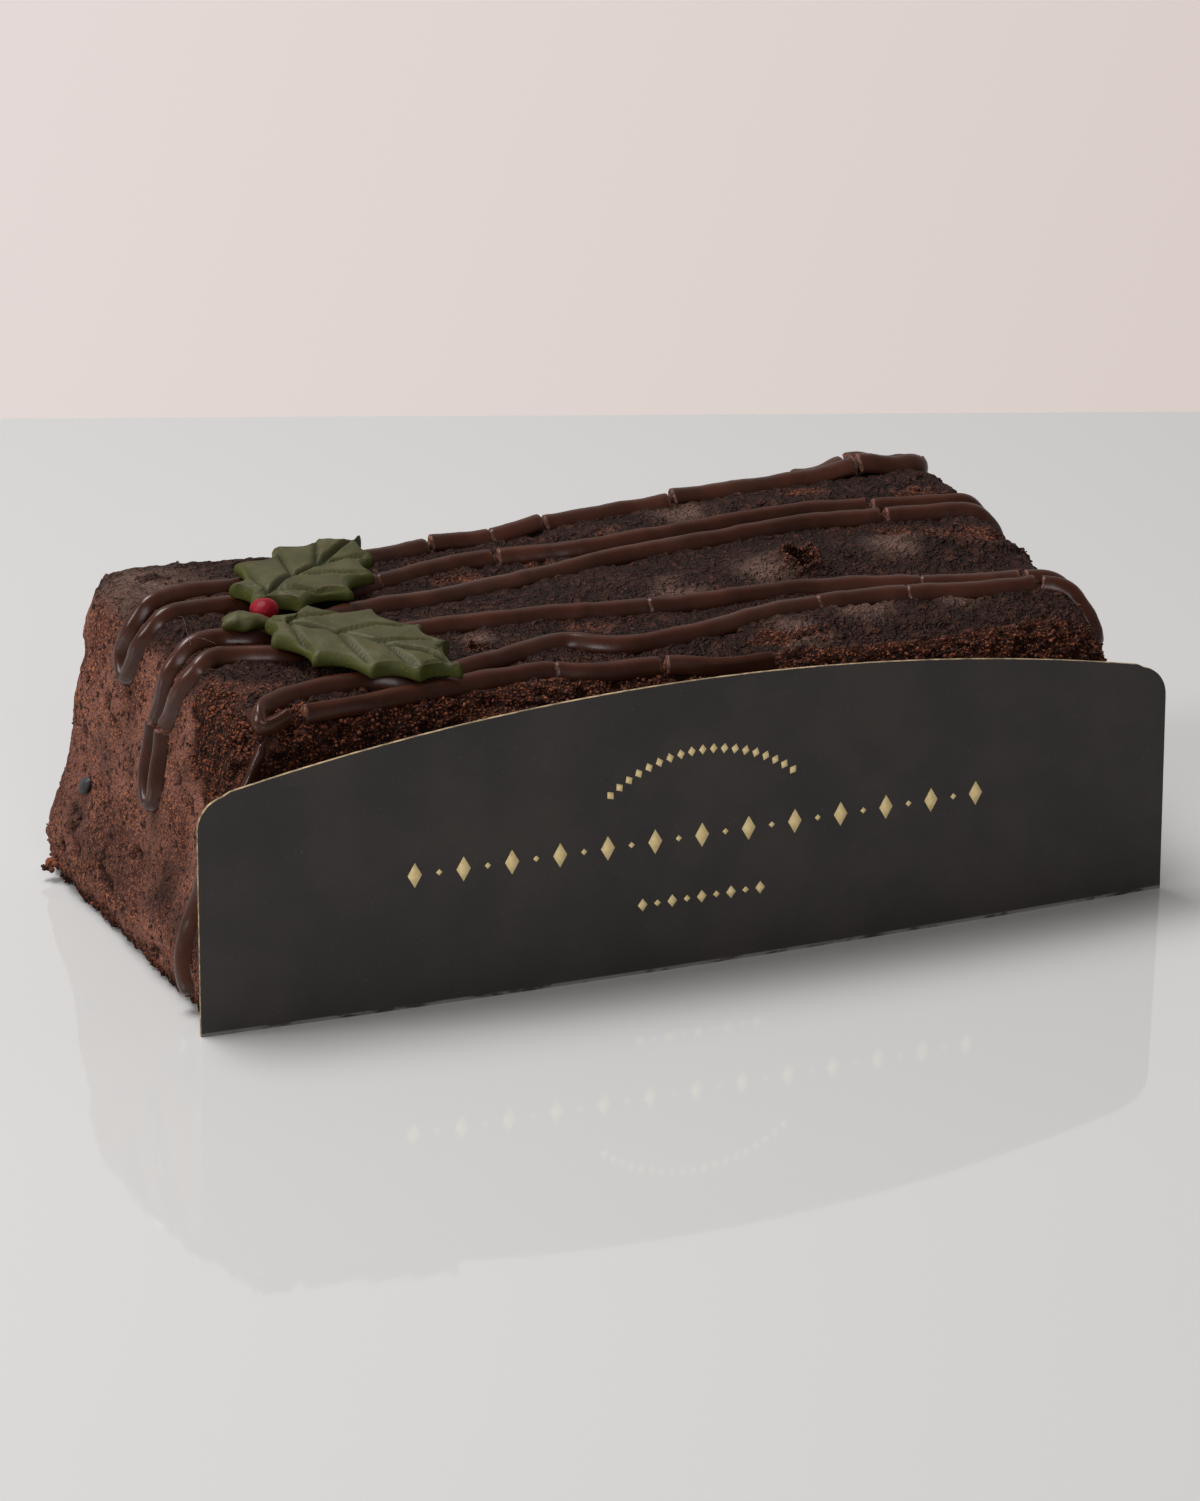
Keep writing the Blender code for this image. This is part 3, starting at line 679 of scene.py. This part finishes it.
def strand(name, points, wide=3.15, high=1.95, ends="bb", cracks=(), lift=(0.0, 0.0), start=1.0):
    """A piped strand laid along the cake.

    ends: r for a rounded tip, b for a broken one. cracks: where it is notched, as x, y. lift: how far
    each end is raised. start: its first end's share of the full width.
    """
    fine, far = polyline(points)
    total = far[-1]
    stations = list(np.linspace(0.0, total, max(4, round(total / STEP)) + 1))
    notches = []
    for x, y in cracks:
        at = float(far[np.argmin((fine[:, 0] - x) ** 2 + (fine[:, 1] - y) ** 2)])
        notches.append(at)
        stations = [s for s in stations if abs(s - at) > 0.36]
        stations += [at - 0.26, at - 0.08, at + 0.08, at + 0.26]
    stations.sort()
    path = np.array([[np.interp(s, far, fine[:, i]) for i in range(3)] for s in stations])
    found = [SURFACE.find_nearest(Vector(p)) for p in path]
    seats = eased(np.array([f[0][:] for f in found]), 3)
    ups = eased(np.array([f[1][:] for f in found]), 12)
    count = len(stations) - 1
    seed = sum(ord(c) for c in name) * 0.37
    bm = bmesh.new()
    broken = bm.verts.layers.float.new("broken")
    bmesh.ops.create_grid(bm, x_segments=count, y_segments=ROUND, size=0.5)
    for vert in bm.verts:
        i = round((vert.co.x + 0.5) * count)
        j = round((vert.co.y + 0.5) * ROUND) % ROUND
        s = stations[i]
        seat = Vector(seats[i])
        ahead = (Vector(seats[min(i + 1, count)]) - Vector(seats[max(i - 1, 0)])).normalized()
        up = Vector(ups[i]).normalized()
        across = up.cross(ahead).normalized()
        up = ahead.cross(across).normalized()
        ridge = min(max(across.y * 1.6, -1.0), 1.0)
        size = start + (1.0 - start) * smooth(2.0 * s / total)
        w = wide * size * (1.0 + 0.12 * sway(s, seed, 7.0, 0) + 0.05 * sway(s, seed, 2.4, 5))
        h = high * size * (1.0 + 0.12 * sway(s, seed, 6.0, 9) + 0.04 * sway(s, seed, 2.2, 3))
        drift = 0.30 * sway(s, seed, 9.0, 13)
        run = 0.0
        for end, left, sign in ((ends[0], s, -1.0), (ends[1], total - s, 1.0)):
            reach = 0.55 * wide
            if end == "r" and left < reach:
                bend = math.sqrt(max(1.0 - (1.0 - left / reach) ** 2, 0.06))
                w, h = w * bend, h * (0.45 + 0.55 * bend)
            if end == "b" and left < 0.2:
                run += sign * (0.22 + 0.28 * noise.noise(Vector((j * 0.6, seed, sign))))
                vert[broken] = 1.0
        for at in notches:
            if abs(s - at) < 0.15:
                w, h = w - 0.30, h - 0.22
                vert[broken] = 0.6
        raised = lift[0] * smooth(1.0 - s / 9.0) + lift[1] * smooth(1.0 - (total - s) / 9.0)
        side, rise = section(j, ridge)
        height = raised * 0.8 - SINK + (h + SINK) * rise
        vert.co = seat + ahead * run + across * (drift + 0.5 * w * side) + up * height
    bmesh.ops.remove_doubles(bm, verts=bm.verts, dist=0.0005)
    rims = [e for e in bm.edges if e.is_boundary]
    caps = bmesh.ops.holes_fill(bm, edges=rims, sides=0)["faces"]
    bmesh.ops.poke(bm, faces=caps)
    settle(name.replace("piping", "strand"), bm, [CHOCOLATE], [name])


def top(x, y):
    return (x, y, crust(x, y))


strand("piping_back_tip", [
    top(71, 38), top(80, 37.5), top(85.5, 38.5), top(85.5, 42), top(80, 44), top(72, 44),
], wide=3.6, high=2.6, lift=(1.5, 3.2))
strand("piping_back_return", [top(70.5, 44), top(66, 44), top(59, 43)], ends="br", lift=(3.4, 1.4))
strand("piping_1c", [top(31, 36.5), top(50, 37.5), top(70, 38)], wide=3.3, high=2.1, lift=(0.6, 1.3))
strand("piping_1b", [top(4, 35), top(16, 35.5), top(30, 35.5)])
strand("piping_1a", [top(-20, 33), top(-6, 32.5), top(3, 34)], cracks=[(-8, 32.5)], lift=(0.6, 0.9))
strand("piping_left_loop_back", [
    top(-21, 32.5), top(-34, 28.5), top(-50, 22.5), top(-64, 20), top(-75, 18.5), top(-82, 16),
    (-86, 16, 55),
    (-87, 18, 50), (-87.5, 15.5, 46), (-87, 12, 50), (-85.5, 9.5, 56), top(-81, 9.5), top(-72, 11),
    top(-60, 12),
    top(-47, 15), top(-35, 18.3), top(-20, 22.5), top(-12, 22.5),
], cracks=[(-36.5, 17.9)])
strand("piping_2", [top(-11, 22.4), top(0, 20.7), top(8, 19.7), top(30, 20.8), top(51, 21.5), top(64, 20.5)])
strand("piping_right_loop_back", [
    top(65, 20.3), top(78, 19), top(84, 18.3), (88, 17, 53), (89.5, 16, 47), (90, 13.8, 43), (89.5, 12, 47),
    (88, 12.4, 53), top(83, 14.6), top(76, 15.8), top(66, 16.5),
])
strand("piping_3", [
    top(65, 16.6), top(49, 17.3), top(28, 15.6), top(6, 13.3), top(-15, 9.8), top(-30, 5.6), top(-43, 4.5),
    top(-56, 0), top(-68, -4.5), top(-76, -3), top(-81.5, -4), (-85, -5, 56), (-87, -4, 51),
    (-87.8, -1, 43.5),
])
strand("piping_left_loop_middle", [
    (-87.8, 0, 43), (-88.6, 0.5, 37), (-89.3, -0.5, 31.5), (-89.6, -3, 28.5), (-89.4, -5, 31.5),
    (-88.6, -4.7, 37), (-87.8, -4.6, 43),
])
strand("piping_4", [
    (-87.7, -5.5, 44), (-86.8, -10, 51), (-84, -12.3, 56.5), top(-79.5, -10.5), top(-74, -11),
    top(-67, -12.5),
    top(-56, -12), top(-46, -8), top(-36, -6.5), top(-23, -7), top(-11, -7.5), top(4, -9), top(16, -9.5),
    top(36, -10), top(55, -13), top(74, -16.5), top(77, -17.3),
], cracks=[(5.0, -9.0), (58.0, -13.5)])
strand("piping_right_loop_front", [
    top(78, -17.6), (84.2, -19.4, 54.6), (88.6, -23.2, 49.8), (90.0, -26.4, 45.5), (89.4, -29.6, 44.8),
    (87.4, -28.4, 49.3), (84.2, -25, 53.1), top(79, -22),
], wide=2.9)
strand("piping_5", [
    top(78, -21.4), top(66, -20.4), top(52, -18.5), top(44, -18), top(32, -18), top(20, -20.5), top(9, -23),
    top(-3, -24.5), top(-11, -23.5), top(-18, -20.5), top(-29, -23.5), top(-39, -26), top(-49, -28.3),
    top(-57, -26.5), top(-64, -27), top(-72, -29), top(-76.5, -30.8), (-79.6, -32.3, 53.9),
    (-80.6, -34.4, 52.2),
    (-78.2, -35.4, 53), top(-75, -34.9),
], cracks=[(53.0, -18.6), (35.0, -18.0)])
strand("piping_6a", [
    top(-72.5, -34.8), top(-63, -34), top(-53, -32.3), top(-34, -30.8), top(-25, -30.3), top(-14.5, -32),
    top(-3, -32),
], cracks=[(-23.0, -30.4)])
strand("piping_6b", [top(-2, -32), top(8, -34), top(19, -34)], ends="br")
strand("piping_drip", [
    (-81, -37.5, 51), (-84.5, -38.5, 43), (-87.5, -34, 33), (-90, -29.5, 22), (-92, -29, 12),
    (-93.5, -31.5, 3),
], wide=4.4, start=0.5, ends="rr")


def thread(name, points, radius):
    """A hair of pulled chocolate."""
    fine, _ = polyline(points)
    rows = fine[::3]
    count, sides = len(rows) - 1, 6
    bm = bmesh.new()
    bmesh.ops.create_grid(bm, x_segments=count, y_segments=sides, size=0.5)
    for vert in bm.verts:
        i = round((vert.co.x + 0.5) * count)
        turn = 2.0 * math.pi * (round((vert.co.y + 0.5) * sides) % sides) / sides
        ahead = Vector(rows[min(i + 1, count)] - rows[max(i - 1, 0)]).normalized()
        across = ahead.cross(Vector((0.3, 0.2, 1.0))).normalized()
        vert.co = Vector(rows[i]) + radius * (across * math.cos(turn) + ahead.cross(across) * math.sin(turn))
    bmesh.ops.remove_doubles(bm, verts=bm.verts, dist=0.0005)
    bmesh.ops.holes_fill(bm, edges=[e for e in bm.edges if e.is_boundary], sides=0)
    settle(name, bm, [CHOCOLATE])


thread("pulled_thread_a", [
    (-80.6, 4.4, 60.5), (-81.2, 0.5, 61.4), (-82.5, -4.5, 60.8), (-83.2, -8.5, 59.4),
], 0.07)
thread("pulled_thread_b", [(-83.0, -7.6, 60.2), (-82.0, -10.0, 61.2), (-80.0, -12.6, 60.6)], 0.06)


# ---------------------------------------------------------------- holly

LEAF_THICK, LEAF_LIFT, BERRY_RADIUS, BERRY_HALF_HIGH = 2.8, 2.8, 2.65, 2.0
NUB, BERRY, SEED_PLACE = (-71.6, -4.6), (-66.8, -2.0), Vector((-89.3, 28.2, 21.5))
# A holly leaf's spines, as shares of its length and of its half width
STATIONS = ((0.0, 0.10), (0.10, 0.62), (0.36, 1.0), (0.64, 0.86), (0.84, 0.50), (1.0, 0.0))
# Spread from the rib and rise of the leaf's wall, from its underside to where the top begins
LEAF_WALL = (
    (0.90, 0.0), (0.97, 0.06), (1.0, 0.20), (1.0, 0.36), (0.985, 0.50), (0.96, 0.63), (0.93, 0.72),
    (0.90, 0.79), (0.865, 0.84),
)


def holly_outline(length, left, right, fineness=12):
    """A holly leaf's edge: spines joined by hollow curves, from its stem round to it again."""
    edge = []
    for half in (-right, left):
        spines = [Vector((length * u, half * v)) for u, v in STATIONS]
        if half > 0.0:
            spines.reverse()
        for a, b in zip(spines, spines[1:]):
            chord = b - a
            inward = Vector((0.5 * length, 0.0)) - 0.5 * (a + b)
            inward = (inward - chord * (inward.dot(chord) / chord.length_squared)).normalized()
            pieces = max(3, round(fineness * chord.length / 10.0))
            for k in range(pieces):
                t = k / pieces
                hollow = 0.22 * chord.length * 4.0 * t * (1.0 - t)
                edge.append(a + chord * t + inward * hollow)
        edge.append(spines[-1])
    kept = []
    for point in edge:
        if not kept or (point - kept[-1]).length > 0.12:
            kept.append(point)
    return kept if (kept[0] - kept[-1]).length > 0.12 else kept[:-1]


def vein_depth(u, v, length, left, right):
    """How deep the pressed veins are at u, v of a leaf, from 0 to 1."""
    deep = near(abs(v + 0.35 * math.sin(u * 0.35)), 1.05) * smooth((0.97 * length - u) / 2.0)
    half = left if v > 0.0 else right
    for foot, (tip_u, tip_v) in zip((0.10, 0.34, 0.56), STATIONS[2:5]):
        a = Vector((length * foot, 0.0))
        b = Vector((length * tip_u * 0.99, 0.90 * tip_v * half))
        d = b - a
        t = min(max((Vector((u, abs(v))) - a).dot(d) / d.length_squared, 0.0), 1.0)
        far = (Vector((u, abs(v))) - a - d * t).length
        deep = max(deep, 0.9 * near(far, 0.75) * smooth((1.05 - t) / 0.3))
    return deep


def leaf(name, node, x, y, heading_deg, length, left, right):
    """A moulded leaf with pressed veins, laid over the crust on the piping."""
    edge = holly_outline(length, left, right)
    heading = math.radians(heading_deg)
    bm = bmesh.new()
    rim, vein_shade = bm.verts.layers.float.new("rim"), bm.verts.layers.float.new("vein_shade")
    spreads = list(LEAF_WALL)
    for k in range(36):
        spread = 0.84 * (1.0 - k / 35.0) + 0.015
        spreads.append((spread, 1.0 - 0.14 * smooth((spread - 0.40) / 0.45)))
    rings = []
    for spread, rise in spreads:
        ring = []
        for point in edge:
            spine = Vector((min(max(point.x, 0.12 * length), 0.88 * length), 0.0))
            u, v = spine + (point - spine) * spread
            px = x + u * math.cos(heading) - v * math.sin(heading)
            py = y + u * math.sin(heading) + v * math.cos(heading)
            pressed = vein_depth(u, v, length, left, right) * smooth((rise - 0.5) / 0.3)
            puff = 0.45 * noise.noise(Vector((u * 0.25, v * 0.25, x)))
            z = crust(px, py) + LEAF_LIFT - 0.5 + (LEAF_THICK + 0.5) * rise
            made = bm.verts.new((px, py, z + puff * smooth(rise) - 1.25 * pressed))
            # the veins' pressing is kept as well to paint shade into them
            made[rim], made[vein_shade] = smooth((spread - 0.86) / 0.12), pressed
            ring.append(made)
        rings.append([bm.edges.new((a, b)) for a, b in zip(ring, ring[1:] + ring[:1])])
    for low, high in zip(rings, rings[1:]):
        bmesh.ops.bridge_loops(bm, edges=low + high)
    bmesh.ops.contextual_create(bm, geom=rings[0])
    bmesh.ops.contextual_create(bm, geom=rings[-1])
    bmesh.ops.triangulate(bm, faces=[f for f in bm.faces if len(f.verts) > 4])
    settle(name, bm, [LEAF_SUGAR], [node])


def holly_nub():
    """The lump of sugar paste where the stems meet."""
    bm = bmesh.new()
    rim = bm.verts.layers.float.new("rim")
    bm.verts.layers.float.new("vein_shade")
    bmesh.ops.create_uvsphere(bm, u_segments=56, v_segments=30, radius=1.0)
    for vert in bm.verts:
        turn = math.atan2(vert.co.y, vert.co.x)
        lobed = 1.0 + 0.13 * math.cos(3.0 * turn + 0.6) + 0.09 * math.cos(5.0 * turn)
        vert.co = Vector((vert.co.x * 4.3 * lobed, vert.co.y * 2.7 * lobed, vert.co.z * 1.7))
        vert.co += 0.55 * Vector(noise.noise_vector(vert.co * 0.42))
        vert[rim] = smooth((0.9 - vert.co.z) / 1.6)
    bmesh.ops.rotate(bm, matrix=Matrix.Rotation(math.radians(-14.0), 3, "Z"), verts=bm.verts)
    x, y = NUB
    bmesh.ops.translate(bm, vec=(x, y, crust(x, y) + LEAF_LIFT + 0.9), verts=bm.verts)
    settle("holly_nub", bm, [LEAF_SUGAR], ["holly_stub"])


def berry():
    """A round of sugar paste, pressed a little flat."""
    bm = bmesh.new()
    bmesh.ops.create_uvsphere(bm, u_segments=48, v_segments=32, radius=BERRY_RADIUS)
    x, y = BERRY
    middle = Vector((x, y, crust(x, y) + 4.5))
    for vert in bm.verts:
        vert.co *= 1.0 + 0.035 * noise.noise(vert.co * 0.7) + 0.010 * noise.noise(vert.co * 2.5)
        vert.co.z *= BERRY_HALF_HIGH / BERRY_RADIUS
        vert.co += middle
    settle("berry", bm, [BERRY_SUGAR], ["holly_berry"])


def seed():
    """A flat seed stuck to the left end."""
    spot, out, _, _ = CAKE_SKIN.find_nearest(SEED_PLACE)
    lying = out.to_track_quat("Z", "Y").to_matrix().to_4x4()
    bm = bmesh.new()
    bmesh.ops.create_uvsphere(bm, u_segments=28, v_segments=18, radius=1.0)
    for vert in bm.verts:
        pinch = 1.0 - 0.22 * smooth(vert.co.y)
        vert.co = Vector((vert.co.x * 1.45 * pinch, vert.co.y * 2.5, vert.co.z * 1.05))
        vert.co += 0.10 * Vector(noise.noise_vector(vert.co * 0.9))
    bmesh.ops.rotate(bm, matrix=Matrix.Rotation(math.radians(-50.0), 3, "Z"), verts=bm.verts)
    bmesh.ops.transform(bm, matrix=Matrix.Translation(spot + out * 0.65) @ lying, verts=bm.verts)
    settle("seed", bm, [SEED])


leaf("holly_back", "holly_leaf_back", -66.5, 2.5, 40.5, 41.0, 12.5, 12.0)
leaf("holly_front", "holly_leaf_front", -68.0, -6.5, -45.8, 37.6, 16.0, 11.0)
holly_nub()
berry()
seed()


# ---------------------------------------------------------------- card


def bow_shift(x, y, z):
    fade = 1.0 - min(max(y / FLAP_DEPTH, 0.0), 1.0)
    forward = CARD_BOW * (1.0 - (2.0 * x / CARD_LENGTH) ** 2) * fade
    return CARD_FRONT + y - forward + math.tan(math.radians(CARD_LEAN_DEG)) * z


def bow(bm):
    """Curves card laid flat along X, and leans its upright panel back."""
    for x in np.linspace(-90.0, 90.0, 61):
        geom = bm.verts[:] + bm.edges[:] + bm.faces[:]
        bmesh.ops.bisect_plane(bm, geom=geom, plane_co=(x, 0, 0), plane_no=(1, 0, 0))
    for vert in bm.verts:
        vert.co.y = bow_shift(*vert.co)
    return bm


def arch(x):
    return CARD_PEAK - CARD_ARCH_RADIUS + math.sqrt(CARD_ARCH_RADIUS**2 - x * x)


def card_panel():
    """The upright panel: straight sides, rounded shoulders and a shallow arched top."""
    half = 0.5 * CARD_LENGTH
    shoulder = half - CARD_CORNER
    low = arch(shoulder) - CARD_CORNER - 0.6
    edge = [(-half, 0.0), (half, 0.0)]
    turns = [math.radians(77.4 * k / 11.0) for k in range(12)]
    edge += [(shoulder + CARD_CORNER * math.cos(t), low + CARD_CORNER * math.sin(t)) for t in turns]
    edge += [(x, arch(x)) for x in np.linspace(shoulder, -shoulder, 49)]
    edge += [(-shoulder - CARD_CORNER * math.cos(t), low + CARD_CORNER * math.sin(t)) for t in turns[::-1]]
    bm = bmesh.new()
    face = bm.faces.new([bm.verts.new((x, 0.0, z)) for x, z in edge])
    grown = bmesh.ops.extrude_face_region(bm, geom=[face])
    moved = [g for g in grown["geom"] if isinstance(g, bmesh.types.BMVert)]
    bmesh.ops.translate(bm, vec=(0.0, CARD_THICK, 0.0), verts=moved)
    bmesh.ops.recalc_face_normals(bm, faces=bm.faces)
    for side in bm.faces:
        side.material_index = 1 if len(side.verts) == 4 else 0
    return bm


def slab(x0, x1, y0, y1, z0, z1):
    bm = bmesh.new()
    bmesh.ops.create_cube(bm, size=1.0)
    bmesh.ops.scale(bm, vec=(x1 - x0, y1 - y0, z1 - z0), verts=bm.verts)
    centre = (0.5 * (x0 + x1), 0.5 * (y0 + y1), 0.5 * (z0 + z1))
    bmesh.ops.translate(bm, vec=centre, verts=bm.verts)
    return bm


def folded_card():
    """The upright panel with the flap that runs back under the cake."""
    panel = settle("folded_card", bow(card_panel()), [BLACK_CARD, CUT_EDGE], ["card"])
    flap = bow(slab(FLAP_LEFT, FLAP_RIGHT, 0.3, FLAP_DEPTH, 0.0, CARD_THICK))
    bmesh.ops.translate(flap, vec=CENTRE_SHIFT, verts=flap.verts)
    bmesh.ops.scale(flap, vec=(MM, MM, MM), verts=flap.verts)
    bmesh.ops.recalc_face_normals(flap, faces=flap.faces)
    mesh = bpy.data.meshes.new("flap_shape")
    flap.to_mesh(mesh)
    flap.free()
    mesh.materials.append(BLACK_CARD)
    tool = bpy.data.objects.new("flap_shape", mesh)
    bpy.context.scene.collection.objects.link(tool)
    join = panel.modifiers.new("join_flap", "BOOLEAN")
    join.operation, join.solver, join.object = "UNION", "EXACT", tool
    bpy.context.view_layer.update()
    made = panel.evaluated_get(bpy.context.evaluated_depsgraph_get())
    joined = bpy.data.meshes.new_from_object(made)
    panel.modifiers.clear()
    panel.data = joined
    joined.shade_flat()
    bpy.data.objects.remove(tool, do_unlink=True)


def ink(bm, x, z, wide, tall, turn=0.0):
    """A small flat printed lozenge, its middle at x, z on the panel."""
    shape = Matrix.Translation((x, -0.02, z)) @ Matrix.Rotation(math.radians(90.0), 4, "X")
    shape = shape @ Matrix.Rotation(turn, 4, "Z") @ Matrix.Diagonal((wide, tall, 1.0, 1.0))
    bmesh.ops.create_cone(
        bm, cap_ends=True, segments=4, radius1=0.5, radius2=0.5, depth=0.05, matrix=shape
    )


def printed_border():
    """A long row of large and small lozenges, an arched row above it and a short row below."""
    bm = bmesh.new()
    for k in range(-12, 13):
        large = k % 2 == 0
        ink(bm, 4.6 * k, 24.6, 2.7 if large else 1.2, 4.6 if large else 1.2)
    for k in range(-9, 10):
        turn = 0.074 * k
        ink(bm, 29.0 * math.sin(turn), 11.6 + 29.0 * math.cos(turn), 1.5, 1.9, -turn)
    for k in range(-4, 5):
        small = k % 2 == 1
        ink(bm, 2.9 * k, 13.0, 1.3 if small else 1.9, 1.3 if small else 2.4)
    for vert in bm.verts:
        vert.co.y = bow_shift(*vert.co)
    settle("printed_border", bm, [INK])


folded_card()
printed_border()


# ---------------------------------------------------------------- table, light and camera, in metres

WINDOW_WAY, WALL_DARKENS_TO = (0.40, 0.87, 0.28), (0.90, -0.42, -0.35)
# The table's far edge runs between these two points behind the cake
FAR_LEFT, FAR_RIGHT = Vector((-0.005, 0.314, 0.0)), Vector((0.2515, 0.218, 0.0))
TABLE_WIDE, TABLE_DEEP = 5.0, 3.0


def table():
    run = (FAR_RIGHT - FAR_LEFT).normalized()
    near_way = Vector((run.y, -run.x, 0.0))
    bm = bmesh.new()
    bmesh.ops.create_grid(bm, x_segments=1, y_segments=1, size=0.5)
    for vert in bm.verts:
        along, down = TABLE_WIDE * vert.co.x, TABLE_DEEP * (0.5 - vert.co.y)
        vert.co = FAR_LEFT + run * along + near_way * down
    bmesh.ops.recalc_face_normals(bm, faces=bm.faces)
    if bm.faces[:][0].normal.z < 0.0:
        bmesh.ops.reverse_faces(bm, faces=bm.faces)
    mesh = bpy.data.meshes.new("table")
    bm.to_mesh(mesh)
    bm.free()
    mesh.materials.append(table_finish())
    top_board = bpy.data.objects.new("table", mesh)
    bpy.context.scene.collection.objects.link(top_board)


def soft_room():
    """A pale wall shows all round; its light on the cake comes mostly from behind, as from a window."""
    world = bpy.data.worlds.new("soft_room")
    bpy.context.scene.world = world
    world.use_nodes = True
    room = Wiring(world.node_tree)
    way = room.node("ShaderNodeTexCoord", {}, {}, "Generated")
    seen = room.node("ShaderNodeLightPath", {}, {}, "Is Camera Ray")
    dot = {"operation": "DOT_PRODUCT"}
    facing = room.node("ShaderNodeVectorMath", dot, {0: way, 1: WINDOW_WAY}, "Value")
    sideways = room.node("ShaderNodeVectorMath", dot, {0: way, 1: WALL_DARKENS_TO}, "Value")
    shade = sideways.between(-0.02, 0.22, ease="LINEAR")
    wall = room.mix(shade, (0.775, 0.697, 0.672), (0.690, 0.600, 0.560))
    glow = facing.between(-0.1, 0.85, 0.15, 0.48)
    strength = room.node("ShaderNodeMix", {}, {0: seen, 2: glow, 3: 1.0})
    background = room.tree.nodes["Background"]
    room.tree.links.new(room.mix(seen, (0.92, 0.90, 0.88), wall).socket, background.inputs["Color"])
    room.tree.links.new(strength.socket, background.inputs["Strength"])


def softbox(name, place, aim, wide, tall, watts):
    """A white area lamp turned towards aim."""
    lamp = bpy.data.lights.new(name, "AREA")
    lamp.shape, lamp.size, lamp.size_y, lamp.energy = "RECTANGLE", wide, tall, watts
    made = bpy.data.objects.new(name, lamp)
    made.location = place
    made.rotation_euler = (Vector(aim) - Vector(place)).to_track_quat("-Z", "Y").to_euler()
    bpy.context.scene.collection.objects.link(made)


table()
soft_room()
softbox("key_overhead", (-0.35, 0.40, 1.35), (0.0, 0.0, 0.03), 0.8, 0.5, 23.0)
softbox("left_window", (-1.35, 0.15, 0.70), (-0.05, 0.0, 0.03), 0.5, 0.6, 13.5)
softbox("front_fill", (-0.55, -1.50, 0.85), (0.0, 0.0, 0.03), 0.8, 0.5, 8.5)


# The camera's place, its turns, and the lens in millimetres
EYE = Vector((-0.4695, -1.0218, 0.4333))
YAW, PITCH, ROLL = math.radians(24.72), math.radians(19.95), math.radians(0.895)
ahead = Vector((math.sin(YAW) * math.cos(PITCH), math.cos(YAW) * math.cos(PITCH), -math.sin(PITCH)))
level = Vector((math.cos(YAW), -math.sin(YAW), 0.0))
upward = level.cross(ahead)
right = math.cos(ROLL) * level + math.sin(ROLL) * upward
upright = -math.sin(ROLL) * level + math.cos(ROLL) * upward
lens = bpy.data.cameras.new("camera")
lens.lens, lens.sensor_width, lens.sensor_fit = 155.9, 36.0, "AUTO"
lens.clip_start, lens.clip_end = 0.05, 20.0
camera = bpy.data.objects.new("camera", lens)
turned = Matrix((right, upright, -ahead)).transposed()
camera.matrix_world = Matrix.Translation(EYE) @ turned.to_4x4()
bpy.context.scene.collection.objects.link(camera)
bpy.context.scene.camera = camera
bpy.context.scene.view_settings.view_transform = "Standard"
